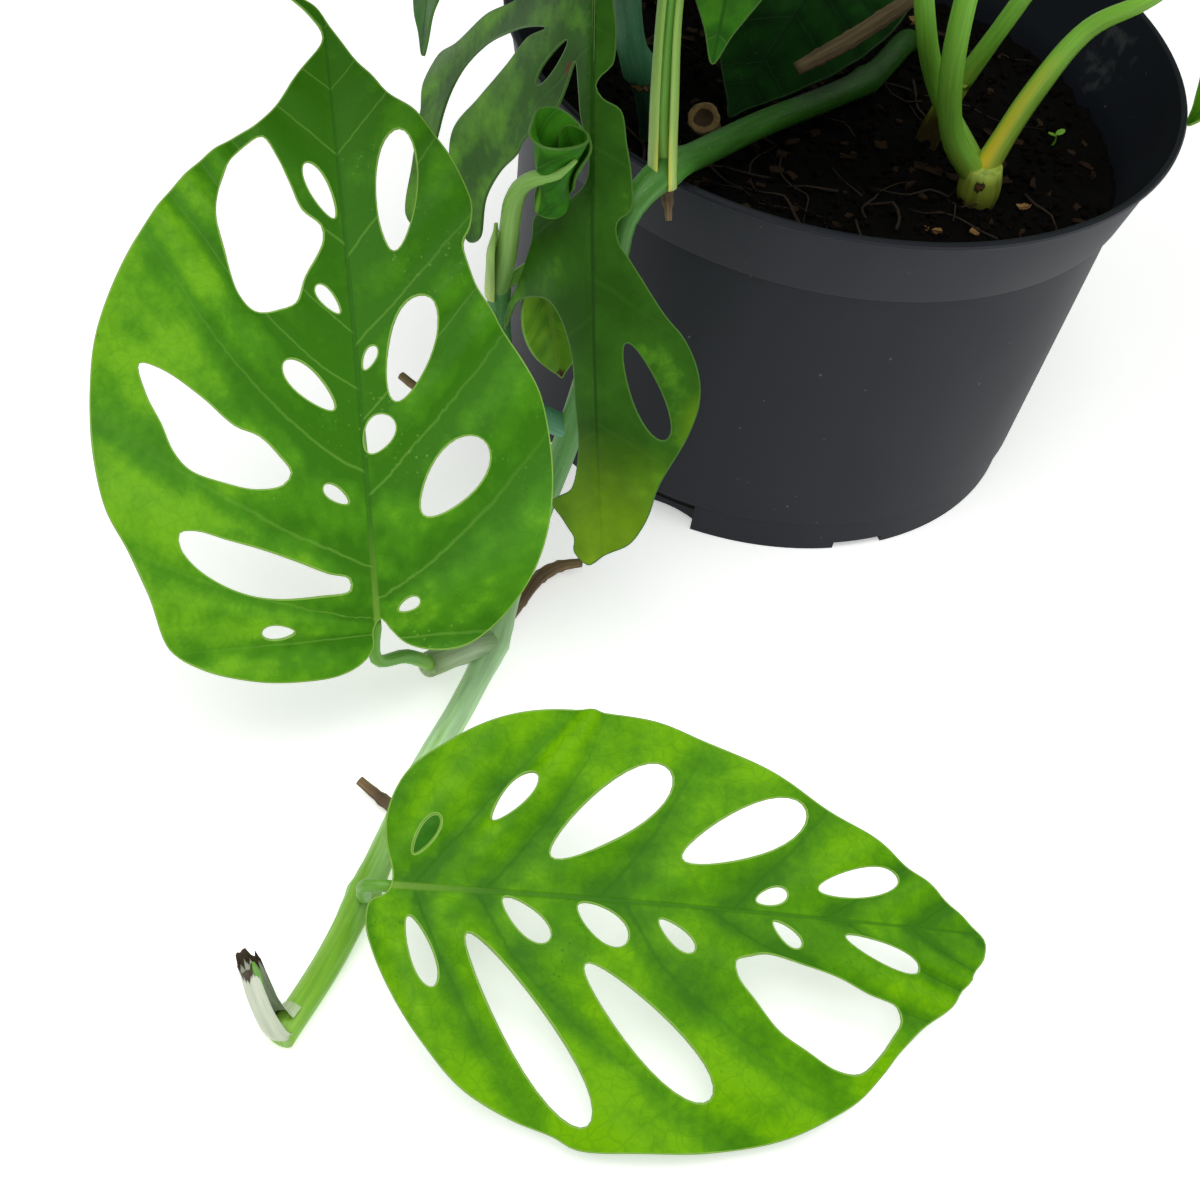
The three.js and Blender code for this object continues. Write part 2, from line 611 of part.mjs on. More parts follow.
const LONG_ROOT = {
  route: [[-52, -126, 6], [-48, -113, 5], [-45, -102, 3.5], [-41, -97, 3.4], [-36, -94, 3.2]],
  radius: [1.6, 1.3], sides: 7, spacing: 8,
};
const SHORT_ROOT = {
  route: [[-62, -182, 3.6], [-67, -179, 3], [-73, -176, 4]],
  radius: [1.5, 1.1], sides: 7, spacing: 6,
};
const RIM_ROOT = {
  route: [[-35.5, -80, 111], [-33.5, -84, 108], [-32.5, -86.5, 105]],
  radius: [1.7, 0.8], sides: 7, spacing: 5,
};
const HIDDEN_ROOT = {
  route: [[-62, -98, 62], [-72, -95, 52], [-82, -91, 46], [-87, -88, 46]],
  radius: [1.5, 1], sides: 7, spacing: 8,
};

const stem = ({ route, radius, sides, spacing }) => tube(route, taper(...radius), sides, spacing);

// The same stem a little thicker and deeper: it cuts the plain hole or seat that the stem lies in.
const sleeve = ({ route, radius, sides, spacing }) =>
  tube(route, taper(...radius.map((r) => r + CLEARANCE)), sides, spacing, SOCKET_DEPTH);

const RIM_NODE = [-36, -79, 114.4];
const FIRST_NODE = [-52, -129, 6];
const SECOND_NODE = [-65, -205, 4.4];

function trailingVine() {
  const stub = tube([FIRST_NODE, [-57, -136, 10], [-64.5, -148, 15]], steady(3.1), 8, 9);
  const lastSheath = tube([[-73, -243, 4.4], [-76, -243, 11], [-81, -239, 23]], taper(3, 1.4), 6, 10);
  const clasp = tube([RIM_NODE, [-38, -81, 124], [-41, -77, 146]], taper(3.9, 2.2), 8, 11);
  return fused(
    stem(VINE),
    knot([8, 8, 92], 4),
    knot(RIM_NODE, 4.2),
    knot(FIRST_NODE, 4.2),
    knot(SECOND_NODE, 4),
    stub,
    lastSheath,
    clasp,
    petiole("leaf_trailing_upper", [[-63.5, -147, 14.5], [-69, -152, 21]], 1.7, 6),
    petiole("leaf_trailing_lower", [[-65, -206, 4.5], [-63.5, -211, 13]], 1.8, 6),
    petiole("leaf_left_front", [[-41, -77, 144], [-44, -68, 190]], 2.2),
  );
}

function sideShoot() {
  const toRoll = fromFrame(ROLLED, ...ROLLED_SEAT);
  const beforeRoll = fromFrame(ROLLED, 5, 0, -8);
  return fused(
    stem(SHOOT),
    tube([[-66.5, -93, 80], [-65.5, -97.5, 98], beforeRoll, toRoll], taper(2.3, 1.2), 8, 8),
    tube([[-66.5, -93, 84], [-67.5, -97, 94], [-68, -101, 104]], taper(2, 0.7), 6, 8),
    knot([-66.5, -93, 82], 2.8),
    petiole("leaf_young_folded", [[-66, -92.5, 82]], 1.4, 3),
  );
}

function crownStem() {
  return fused(
    stem(CROWN),
    petiole("leaf_front_top", [[39, -22, 90], [27, -24, 102], [20, -28, 138], [25, -32, 200]], 3.1),
    petiole("leaf_left_back", [[38, -19, 91], [24, -12, 106], [13, -18, 134], [-4, 4, 195]], 2.6),
    petiole("leaf_right_front", [[39, -22, 92], [46, -12, 110], [55, -3, 125], [67, -2, 136]], 3.3),
  );
}

function secondPetiole() {
  return fused(
    stem(BACK_CROWN),
    petiole("leaf_right_top", [[30, -2, 103], [37, -3, 127], [56, 8, 180]], 2.7),
  );
}

function leftStem() {
  return fused(
    stem(LEFT_STEM),
    knot([-47, -46, 116], 4.4),
    knot([-54, -57, 152], 4.1),
    petiole("leaf_hanging", [[-54, -57, 150], [-58, -52, 166]], 2.2, 7),
    petiole("leaf_left_hanging", [[-60, -46, 188], [-72, -40, 204]]),
    petiole("leaf_left_top", [[-69, -34, 221], [-66, -18, 242]], 2),
    petiole("leaf_centre_hanging", [[-69, -33, 220], [-60, -4, 223], [-44, 9, 226]], 2),
  );
}

function backStem() {
  return fused(
    stem(BACK_STEM),
    knot([8, 60, 140], 4.2),
    knot([4, 54, 180], 4),
    petiole("leaf_right_low", [[8, 60, 140], [48, 70, 182], [106, 66, 184]], 2.2),
    petiole("leaf_back", [[4, 54, 180], [5, 64, 214]]),
    petiole("leaf_right_back", [[4, 53, 182], [22, 60, 214]]),
    petiole("leaf_top", [[-1, 40, 236], [-6, 30, 262]]),
  );
}

const youngStalk = () => fused(stem(YOUNG_STALK), petiole("leaf_young_solid", [[1, 34, 103]], 1.4, 5));
const nodeSleeve = (point) => knot(point, 4.5);

addPart("vine_trailing", trailingVine(), STEM);
addPart("side_shoot", carved(sideShoot(), [sleeve(VINE)]), STEM);
addPart("stem_right_cluster", crownStem(), STEM);
addPart("petiole_right", secondPetiole(), STEM);
addPart("stem_left", leftStem(), STEM);
addPart("stem_back", backStem(), STEM);
addPart("stalk_young_leaf", youngStalk(), STEM);
addPart("stump_cut_stem", stem(STUMP), BARK);
addPart("aerial_root_long", carved(stem(LONG_ROOT), [sleeve(VINE), nodeSleeve(FIRST_NODE)]), BARK);
addPart("aerial_root_short", carved(stem(SHORT_ROOT), [sleeve(VINE)]), BARK);
addPart("aerial_root_rim", carved(stem(RIM_ROOT), [sleeve(VINE), nodeSleeve(RIM_NODE)]), BARK);
addPart("aerial_root_hidden", carved(stem(HIDDEN_ROOT), [sleeve(SHOOT)]), BARK);
addPart("aerial_root_thick", carved(stem(THICK_ROOT), [sleeve(BACK_STEM)]), BARK);

// ---------------------------------------------------------------- pot

function potSolid() {
  const collarFoot = POT_HEIGHT - COLLAR_DROP;
  const profile = [
    [0, 0], [PAD_RADIUS, 0], [PAD_RADIUS + 2, FLOOR_RISE], [FOOT_RADIUS - 3.5, FLOOR_RISE],
    [FOOT_RADIUS - 2.2, 0], [FOOT_RADIUS, 0], [FOOT_RADIUS + 0.4, FOOT_HEIGHT - 0.8],
    [BODY_FOOT_RADIUS + 0.4, FOOT_HEIGHT], [BODY_TOP_RADIUS, collarFoot], [COLLAR_FOOT_RADIUS, collarFoot],
    [RIM_RADIUS - 1.2, POT_HEIGHT - 2], [RIM_RADIUS, POT_HEIGHT - 1.6], [RIM_RADIUS, POT_HEIGHT],
    [RIM_RADIUS - WALL, POT_HEIGHT], [COLLAR_FOOT_RADIUS - WALL, collarFoot + 1],
    [BODY_TOP_RADIUS - WALL, collarFoot - 1.5], [BODY_FOOT_RADIUS - WALL, FLOOR_RISE + WALL],
    [0, FLOOR_RISE + WALL],
  ].map(([r, z]) => new THREE.Vector2(r, z));
  const body = new THREE.LatheGeometry(profile, POT_SIDES).rotateX(Math.PI / 2);
  const cutters = [];
  for (let i = 0; i < DRAINS; i += 1) {
    const angle = (2 * Math.PI * (i + 0.5)) / DRAINS;
    const drain = new THREE.CylinderGeometry(DRAIN_RADIUS, DRAIN_RADIUS, 20, 8).rotateX(Math.PI / 2);
    cutters.push(drain.translate(DRAIN_CIRCLE * Math.cos(angle), DRAIN_CIRCLE * Math.sin(angle), 0));
  }
  for (const { width, height, from } of [NOTCH, LOW_NOTCH]) {
    for (let i = 0; i < NOTCHES; i += 1) {
      const notch = new THREE.BoxGeometry(6, width, 2 * height);
      cutters.push(notch.translate(FOOT_RADIUS, 0, 0).rotateZ(radians(from + (360 * i) / NOTCHES)));
    }
  }
  return carved(body, cutters);
}

addPart("pot", potSolid(), POT_PLASTIC);

// ---------------------------------------------------------------- soil

// Height of the loose surface: low mounds that fade out towards the pot's wall.
function soilHeight(x, y) {
  const mounds = 1.6 * Math.sin(x / 9 + 1.3) * Math.cos(y / 11) + 1.1 * Math.sin((x + y) / 5.3);
  return SOIL_LEVEL + mounds * (1 - Math.hypot(x, y) / RIM_RADIUS);
}

function soilSolid() {
  const bottom = FLOOR_RISE + WALL + CLEARANCE;
  const wallAt = (z) => {
    const share = (z - FLOOR_RISE - WALL) / (POT_HEIGHT - COLLAR_DROP - 1.5 - FLOOR_RISE - WALL);
    const inner = BODY_FOOT_RADIUS + (BODY_TOP_RADIUS - BODY_FOOT_RADIUS) * share - WALL;
    return inner * Math.cos(Math.PI / POT_SIDES) - CLEARANCE;
  };
  const profile = [new THREE.Vector2(0, bottom), new THREE.Vector2(wallAt(bottom), bottom)];
  for (let i = SOIL_RINGS; i >= 0; i -= 1) {
    profile.push(new THREE.Vector2((wallAt(SOIL_LEVEL) * i) / SOIL_RINGS, SOIL_LEVEL));
  }
  const body = welded(new THREE.LatheGeometry(profile, SOIL_SIDES).rotateX(Math.PI / 2));
  const position = body.attributes.position;
  for (let i = 0; i < position.count; i += 1) {
    if (position.getZ(i) > SOIL_LEVEL - 1) {
      position.setZ(i, soilHeight(position.getX(i), position.getY(i)));
    }
  }
  const rooted = [VINE, CROWN, BACK_CROWN, LEFT_STEM, BACK_STEM, YOUNG_STALK, STUMP];
  return carved(body, rooted.map(sleeve));
}

addPart("soil", soilSolid(), SOIL);

export default model;
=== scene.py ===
# %% [markdown]
# # A monstera adansonii in its nursery pot
# This lesson dresses a finished CAD frame. Every piece is made in metres in the frame's own axes, so it
# goes where the frame says and needs no fitting. Each step first says what the real thing is, then how it
# could be made, then why this way was chosen.

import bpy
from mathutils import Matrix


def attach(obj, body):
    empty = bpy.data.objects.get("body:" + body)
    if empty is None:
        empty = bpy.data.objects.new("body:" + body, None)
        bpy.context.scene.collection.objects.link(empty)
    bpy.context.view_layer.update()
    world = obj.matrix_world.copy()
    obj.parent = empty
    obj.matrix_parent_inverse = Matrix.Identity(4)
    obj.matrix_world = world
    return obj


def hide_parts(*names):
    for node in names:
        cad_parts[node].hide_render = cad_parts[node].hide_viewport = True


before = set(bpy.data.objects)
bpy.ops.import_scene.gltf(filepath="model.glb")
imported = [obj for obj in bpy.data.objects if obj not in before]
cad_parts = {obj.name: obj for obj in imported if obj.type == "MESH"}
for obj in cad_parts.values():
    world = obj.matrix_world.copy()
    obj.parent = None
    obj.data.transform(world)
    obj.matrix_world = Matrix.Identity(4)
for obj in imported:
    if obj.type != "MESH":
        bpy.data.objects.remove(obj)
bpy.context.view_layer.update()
print("nodes", len(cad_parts))

# %% [markdown]
# bmesh builds meshes point by point, and mathutils turns and moves them. Sizes are written in mm, like the
# frame's drawing, and MM turns them into Blender's metres. Vector noise starts from the clock unless it is
# given a seed, and then no two runs would be the same.

# %% Modules and units
import math
import random

import bmesh
import bpy
from mathutils import Matrix, Vector, noise

MM = 0.001
NOISE_SEED = 5
noise.seed_set(NOISE_SEED)

# %% [markdown]
# ## Camera
# The plant is seen from above with a medium lens, slightly rolled. A camera is three directions and a
# place, so it is built from its elevation and its roll and not aimed by eye.

# %% Camera
CAMERA_LENS = 60.9
CAMERA_SENSOR = 36
CAMERA_PLACE = Vector((-29.3, -450.6, 367.2)) * MM
CAMERA_ELEVATION = math.radians(46.5)
CAMERA_ROLL = math.radians(12.46)


def make_camera():
    lens = bpy.data.cameras.new("camera")
    lens.lens = CAMERA_LENS
    lens.sensor_width = CAMERA_SENSOR
    camera = bpy.data.objects.new("camera", lens)
    bpy.context.scene.collection.objects.link(camera)
    tilt = Matrix.Rotation(math.pi / 2 - CAMERA_ELEVATION, 4, "X")
    roll = Matrix.Rotation(CAMERA_ROLL, 4, "Z")
    camera.matrix_world = Matrix.Translation(CAMERA_PLACE) @ tilt @ roll
    bpy.context.scene.camera = camera


make_camera()
print("camera height", round(CAMERA_PLACE.z, 3))

# %% [markdown]
# ## Colours and nodes
# Paint charts give sRGB hex values, and shaders want linear light. One function turns one into the other,
# and one more adds any node with its settings and its links.

# %% Colour and node helpers
def linear(hex_colour):
    """An sRGB hex colour as linear light: a straight line near black, a power curve above it."""
    channels = [int(hex_colour[i:i + 2], 16) / 255 for i in (1, 3, 5)]
    return [c / 12.92 if c <= 0.04045 else ((c + 0.055) / 1.055) ** 2.4 for c in channels] + [1]


def add_node(tree, kind, inputs=None, **settings):
    """Adds a node. An input is a plain value, a socket, or a node whose first output is meant."""
    node = tree.nodes.new(kind)
    for name, value in settings.items():
        setattr(node, name, value)
    for socket, value in (inputs or {}).items():
        if isinstance(value, bpy.types.Node):
            value = value.outputs[0]
        if isinstance(value, bpy.types.NodeSocket):
            tree.links.new(value, node.inputs[socket])
        else:
            node.inputs[socket].default_value = value
    return node


def new_material(name):
    material = bpy.data.materials.new(name)
    material.use_nodes = True
    material.node_tree.nodes.clear()
    return material, material.node_tree


# %% [markdown]
# ## Leaf finish
# A living leaf is a thin wax-coated blade. The wax gives a soft satin gloss, and a fine net of veins shows
# through. The green is painted deepest along the side veins and yellower between them. This is painted shade,
# for the valleys that the blade sinks into along the veins. A picture could be laid on it, but a pattern of
# nodes stays sharp at any distance. It has to follow the veins, so it reads two maps of the blade's own:
# "blade" holds the place on the flat leaf, 1 unit for 100 mm, and "veins" counts the side veins along the
# leaf and gives the distance from the midrib.

# %% Places on the blade
def blade_places(tree):
    """The place on the blade, how far along it lies, its share of the way from a side vein to the middle
    between two, and its distance from the midrib."""
    blade = add_node(tree, "ShaderNodeUVMap", uv_map="blade")
    veins = add_node(tree, "ShaderNodeUVMap", uv_map="veins")
    along = add_node(tree, "ShaderNodeSeparateXYZ", {0: blade}).outputs[0]
    count = add_node(tree, "ShaderNodeSeparateXYZ", {0: veins})
    # No vein is drawn with a ruler: each wanders by up to a twentieth of the way to the next.
    wander = add_node(tree, "ShaderNodeTexNoise", {"Vector": blade, "Scale": 9, "Detail": 3})
    shift = add_node(tree, "ShaderNodeMath", {0: wander, 1: 0.10}, operation="MULTIPLY")
    counted = add_node(tree, "ShaderNodeMath", {0: count.outputs[0], 1: shift}, operation="ADD")
    centred = add_node(tree, "ShaderNodeMath", {0: counted, 1: 0.05}, operation="SUBTRACT")
    share = add_node(tree, "ShaderNodeMath", {0: centred, 1: 0.5}, operation="PINGPONG")
    return blade, along, share, count.outputs[1]


# %% [markdown]
# Side veins leave the midrib every 15 to 20 mm and fade out before the margin, and the midrib tapers to the
# tip. Each is a thin band where the distance to its middle is small.

# %% Midrib and side veins
def vein_lines(tree, along, share, away, side_strength):
    """How strongly a side vein and the midrib show at a place."""
    # A side vein is 0.6 mm wide.
    line = add_node(tree, "ShaderNodeMapRange",
                    {"Value": share, "From Min": 0.008, "From Max": 0.03, "To Min": 1, "To Max": 0},
                    interpolation_type="SMOOTHSTEP")
    fade = add_node(tree, "ShaderNodeMapRange",
                    {"Value": away, "From Min": 0.05, "From Max": 0.42, "To Min": side_strength,
                     "To Max": 0.06})
    side = add_node(tree, "ShaderNodeMath", {0: line, 1: fade}, operation="MULTIPLY")
    # The midrib is 1.6 mm wide at the petiole and 0.5 mm at the tip.
    width = add_node(tree, "ShaderNodeMapRange",
                     {"Value": along, "From Min": 0, "From Max": 1.2, "To Min": 0.0095, "To Max": 0.003})
    nearby = add_node(tree, "ShaderNodeMath", {0: away, 1: width}, operation="DIVIDE")
    midrib = add_node(tree, "ShaderNodeMapRange",
                      {"Value": nearby, "From Min": 0.45, "From Max": 1.1, "To Min": 0.65, "To Max": 0},
                      interpolation_type="SMOOTHSTEP")
    return side, midrib


# %% [markdown]
# Between the side veins lies a net with cells of about 4 mm, and in it a finer one of 1.3 mm. The borders of
# a Voronoi pattern look like that once they are bent a little.

# %% Net of veins
def vein_net(tree, blade, net):
    """How strongly the net shows at a place."""
    waves = add_node(tree, "ShaderNodeTexNoise", {"Vector": blade, "Scale": 14, "Detail": 2})
    warped = add_node(tree, "ShaderNodeMix", {0: 0.06, 4: blade.outputs[0], 5: waves.outputs[1]},
                      data_type="VECTOR")
    lines = []
    for scale, width, strength in ((26, 0.09, net), (78, 0.16, net * 0.4)):
        cells = add_node(tree, "ShaderNodeTexVoronoi", {"Vector": warped.outputs[1], "Scale": scale},
                         feature="DISTANCE_TO_EDGE")
        lines.append(add_node(tree, "ShaderNodeMapRange",
                              {"Value": cells, "From Min": 0.01, "From Max": width, "To Min": strength,
                               "To Max": 0}, interpolation_type="SMOOTHSTEP"))
    return add_node(tree, "ShaderNodeMath", {0: lines[0], 1: lines[1]}, operation="MAXIMUM")


# %% [markdown]
# The green is never even: it has clouds of 18 mm with mottles of 5 mm in them, is deeper in the bands beside
# the veins, which is painted shade for the valleys there, and gets paler towards the margin. All of that adds
# up to one number, which a ramp of three greens turns into a colour. Where the blade turns away from the
# light, a deeper green is painted on it.

# %% Greens of the blade
def leaf_greens(tree, blade, share, away, deep, middle, bright, bands):
    """The green at a place, and the clouds, which the ageing follows too."""
    cloud = add_node(tree, "ShaderNodeTexNoise",
                     {"Vector": blade, "Scale": 5.5, "Detail": 5, "Roughness": 0.6})
    clouded = add_node(tree, "ShaderNodeMapRange",
                       {"Value": cloud, "From Min": 0.3, "From Max": 0.7, "To Min": -0.25 - bands,
                        "To Max": 0.6 - bands})
    mottle = add_node(tree, "ShaderNodeTexNoise",
                      {"Vector": blade, "Scale": 21, "Detail": 4, "Roughness": 0.6})
    mottled = add_node(tree, "ShaderNodeMath", {0: mottle, 1: 2 * bands, 2: clouded},
                       operation="MULTIPLY_ADD")
    # Painted shade: the green is deeper in a band beside each side vein, where the blade sinks into a valley.
    band = add_node(tree, "ShaderNodeMapRange", {"Value": share, "From Min": 0.02, "From Max": 0.3},
                    interpolation_type="SMOOTHSTEP")
    banded = add_node(tree, "ShaderNodeMath", {0: band, 1: bands, 2: mottled}, operation="MULTIPLY_ADD")
    outwards = add_node(tree, "ShaderNodeMapRange",
                        {"Value": away, "From Min": 0.02, "From Max": 0.34, "To Min": -0.2, "To Max": 0.3})
    deeper = add_node(tree, "ShaderNodeAttribute", attribute_name="deeper")
    shaded = add_node(tree, "ShaderNodeMath", {0: deeper.outputs[2], 1: -0.75, 2: outwards},
                      operation="MULTIPLY_ADD")
    lively = add_node(tree, "ShaderNodeMath", {0: banded, 1: shaded}, operation="ADD", use_clamp=True)
    green = add_node(tree, "ShaderNodeValToRGB", {0: lively})
    ramp = green.color_ramp
    ramp.elements[0].color = linear(deep)
    ramp.elements[1].color = linear(bright)
    ramp.elements.new(0.5).color = linear(middle)
    return green, cloud


# %% [markdown]
# A leaf has marks of its life: pale flecks of under 1 mm in drifts, yellow where it ages, and dry brown
# where it was hurt. The flecks are scattered by noise. The other two belong to one place, so they are painted
# on the blade's points.

# %% Marks
def leaf_marks(tree, blade, cloud, colour, fleck_colour):
    """The colour with the flecks, the yellow and the brown laid over it."""
    dots = add_node(tree, "ShaderNodeTexVoronoi", {"Vector": blade, "Scale": 60}, feature="F1")
    dot = add_node(tree, "ShaderNodeMapRange",
                   {"Value": dots, "From Min": 0.08, "From Max": 0.22, "To Min": 0.6, "To Max": 0})
    drift = add_node(tree, "ShaderNodeTexNoise", {"Vector": blade, "Scale": 3.5, "Detail": 1})
    some = add_node(tree, "ShaderNodeMapRange", {"Value": drift, "From Min": 0.56, "From Max": 0.68})
    fleck = add_node(tree, "ShaderNodeMath", {0: dot, 1: some}, operation="MULTIPLY")
    aged = add_node(tree, "ShaderNodeAttribute", attribute_name="aged")
    turning = add_node(tree, "ShaderNodeMath", {0: aged.outputs[2], 1: cloud}, operation="MULTIPLY")
    yellow = add_node(tree, "ShaderNodeMapRange",
                      {"Value": turning, "From Min": 0.02, "From Max": 0.5, "To Min": 0, "To Max": 0.85})
    scar = add_node(tree, "ShaderNodeAttribute", attribute_name="scar")
    patchy = add_node(tree, "ShaderNodeTexNoise", {"Vector": blade, "Scale": 40, "Detail": 3})
    torn = add_node(tree, "ShaderNodeMath", {0: scar.outputs[2], 1: patchy}, operation="ADD")
    dry = add_node(tree, "ShaderNodeMapRange", {"Value": torn, "From Min": 0.85, "From Max": 1.1})
    for share, mark in ((fleck, fleck_colour), (yellow, "#86b016"), (dry, "#4f3a1e")):
        colour = add_node(tree, "ShaderNodeMix", {0: share, 6: colour, 7: linear(mark)},
                          data_type="RGBA").outputs[2]
    return colour


# %% [markdown]
# The finish puts these together. The skin cells of the leaf are domed, which takes most of the gloss from
# the wax, and the veins are sunk 0.3 mm into the upper side.

# %% Leaf finish
LEAF_GLOSS = 0.1
PLANT_IOR = 1.42
PALE_FOOT = "#7fa540"  # the midrib's first 25 mm


def leaf_finish(name, deep, middle, bright, rib, midrib_green, net=0.25, roughness=0.45, side_strength=0.28,
                bands=0.45):
    material, tree = new_material(name)
    blade, along, share, away = blade_places(tree)
    side, midrib = vein_lines(tree, along, share, away, side_strength)
    net_lines = vein_net(tree, blade, net)
    green, cloud = leaf_greens(tree, blade, share, away, deep, middle, bright, bands)
    netted = add_node(tree, "ShaderNodeMix", {0: net_lines, 6: green, 7: linear(deep)}, data_type="RGBA")
    sided = add_node(tree, "ShaderNodeMix", {0: side, 6: netted.outputs[2], 7: linear(rib)}, data_type="RGBA")
    foot = add_node(tree, "ShaderNodeMapRange", {"Value": along, "From Min": 0.02, "From Max": 0.25})
    rib_colour = add_node(tree, "ShaderNodeMix", {0: foot, 6: linear(PALE_FOOT), 7: linear(midrib_green)},
                          data_type="RGBA")
    ribbed = add_node(tree, "ShaderNodeMix", {0: midrib, 6: sided.outputs[2], 7: rib_colour.outputs[2]},
                      data_type="RGBA")
    colour = leaf_marks(tree, blade, cloud, ribbed.outputs[2], rib)
    ribs = add_node(tree, "ShaderNodeMath", {0: side, 1: midrib}, operation="MAXIMUM")
    relief = add_node(tree, "ShaderNodeMath", {0: net_lines, 1: ribs}, operation="ADD")
    bumped = add_node(tree, "ShaderNodeBump",
                      {"Height": relief, "Strength": 0.5, "Distance": 0.3 * MM}, invert=True)
    shader = add_node(tree, "ShaderNodeBsdfPrincipled",
                      {"Base Color": colour, "Roughness": roughness, "Normal": bumped})
    shader.inputs["IOR"].default_value = PLANT_IOR
    shader.inputs["Specular IOR Level"].default_value = LEAF_GLOSS
    add_node(tree, "ShaderNodeOutputMaterial", {"Surface": shader})
    return material


# %% [markdown]
# No two leaves have quite the same green. Light, age and shade make the difference, so each kind of leaf on
# the plant gets a finish of its own from the same nodes. The darkest one is painted shade, for a leaf that
# stands in deep shade.

# %% Kinds of leaf
# The greens of a row are the blade at its deepest, middle and brightest, then its side veins and its midrib.
LEAF_FINISHES = {
    # Well lit and full grown: mid green, with pale side veins that stand out.
    "upper": leaf_finish(
        "living_leaf_mid_green", "#37720e", "#4b8b15", "#6fad1c", "#74a53e", "#2f6414",
        net=0.14, side_strength=0.42, bands=0.42),
    # The brightest leaf is yellow green, and its side veins are painted darker than the blade: painted shade,
    # for the creases along them.
    "lower": leaf_finish(
        "living_leaf_bright_green", "#38720a", "#519006", "#70ae00", "#2f6b10", "#387010",
        net=0.2, side_strength=0.55),
    # An old leaf is smoother and more even.
    "hanging": leaf_finish(
        "living_leaf_satin_green", "#264d0e", "#315f14", "#5f9a20", "#335f16", "#1c3d0e",
        net=0.1, roughness=0.4, side_strength=0.3, bands=0.25),
    "usual": leaf_finish(
        "living_leaf_green", "#235410", "#326d14", "#4c8a1b", "#517f2c", "#224d12", net=0.12),
    # A leaf in deep shade is painted almost black: painted shade.
    "dark": leaf_finish(
        "leaf_green_painted_deep_shade", "#0b290d", "#11370e", "#1a4915", "#235320", "#0d2b0f",
        net=0.05, roughness=0.35),
    # New leaves are thin and soft, and their net of veins hardly shows.
    "young": leaf_finish(
        "new_leaf_yellow_green", "#558c1a", "#6ba01e", "#84b42a", "#8fb53f", "#76a02c",
        net=0.08, roughness=0.42),
    "rolled": leaf_finish(
        "unrolling_leaf_fresh_green", "#22560c", "#306f12", "#43871c", "#548f2e", "#357010",
        net=0.08, roughness=0.42),
}
print("leaf finishes", len(LEAF_FINISHES))

# %% [markdown]
# The underside has no wax and looks paler and duller. The cut edge and a thin band along the margin are
# painted paler still. This is a painted highlight, for the light that the edge of the blade catches.

# %% Underside and margin
def plain_finish(name, colour, other, roughness, scale=0.25, gloss=0.5):
    """A finish clouded between two colours. scale is in clouds per mm. A porous surface has less gloss
    than the usual 0.5."""
    material, tree = new_material(name)
    place = add_node(tree, "ShaderNodeTexCoord")
    cloud = add_node(tree, "ShaderNodeTexNoise",
                     {"Vector": place.outputs["Object"], "Scale": scale / MM, "Detail": 4})
    mixed = add_node(tree, "ShaderNodeMix", {0: cloud, 6: linear(colour), 7: linear(other)}, data_type="RGBA")
    shader = add_node(tree, "ShaderNodeBsdfPrincipled",
                      {"Base Color": mixed.outputs[2], "Roughness": roughness})
    shader.inputs["Specular IOR Level"].default_value = gloss
    add_node(tree, "ShaderNodeOutputMaterial", {"Surface": shader})
    return material


UNDERSIDE = plain_finish("leaf_underside_matte", "#5f9038", "#4f802e", 0.6, 0.12, 0.3)
# A painted highlight: the pale margin stands for the light that the edge of the blade catches.
HIGHLIGHT_MARGIN = plain_finish("leaf_margin_painted_highlight", "#8fb650", "#6fa032", 0.5, gloss=0.3)
THIN_MARGIN = plain_finish("leaf_margin_thin", "#4c7825", "#38611c", 0.5, gloss=0.3)
# Painted shade: the margin of the leaf in deep shade is painted as dark as its blade.
SHADE_MARGIN = plain_finish("leaf_margin_painted_shade", "#24481a", "#1b3a14", 0.5, gloss=0.3)
MARGINS = {"usual": THIN_MARGIN, "hanging": THIN_MARGIN, "dark": SHADE_MARGIN}
RIB = plain_finish("leaf_rib_pale", "#7da650", "#6a9446", 0.5)

# %% [markdown]
# ## The flat leaf
# A leaf of this species is an egg-shaped blade with long holes between its side veins. It could be cut from
# a bent sheet, but holes are far easier in the flat: the margin and the holes are drawn as loops of edges,
# filled with triangles, and sliced by a grid of planes so that there are enough points to bend.

# %% Smooth lines
def smooth_line(points, spacing, closed=False):
    """A centripetal Catmull-Rom line through the points, in steps of about the spacing."""
    points = [Vector(p) for p in points]
    count = len(points)
    line = []
    for i in range(count if closed else count - 1):
        b, c = points[i], points[(i + 1) % count]
        a = points[i - 1] if closed or i else 2 * b - c
        d = points[(i + 2) % count] if closed or i + 2 < count else 2 * c - b
        before, here, after = ((q - p).length ** 0.5 for p, q in ((a, b), (b, c), (c, d)))
        leave = ((b - a) / before - (c - a) / (before + here) + (c - b) / here) * here
        reach = ((c - b) / here - (d - b) / (here + after) + (d - c) / after) * here
        steps = max(2, round((c - b).length / spacing))
        for j in range(steps):
            t = j / steps
            line.append(b + leave * t + (-3 * b + 3 * c - 2 * leave - reach) * t ** 2
                        + (2 * b - 2 * c + leave + reach) * t ** 3)
    return line if closed else [*line, points[-1]]


POD_BLUNTNESS = 0.25


def pod(x, y, length, width, turn, sides=30):
    """A hole between two side veins: an egg with its blunt end away from the midrib."""
    away = math.copysign(1, y) * math.copysign(1, turn)
    angle = math.radians(turn)
    loop = []
    for i in range(sides):
        t = 2 * math.pi * i / sides
        along = math.cos(t) * length / 2
        across = math.sin(t) * width * (1 + POD_BLUNTNESS * away * math.cos(t)) / 2
        loop.append(Vector((x + along * math.cos(angle) - across * math.sin(angle),
                            y + along * math.sin(angle) + across * math.cos(angle))))
    return loop


# %% [markdown]
# Only the leaves in front are worth drawing one by one, and copies of one leaf would be seen at once. So the
# others share an outline, given as shares of their length and half width, and their holes lie in rows
# between the side veins, each a little different by a seeded rule.

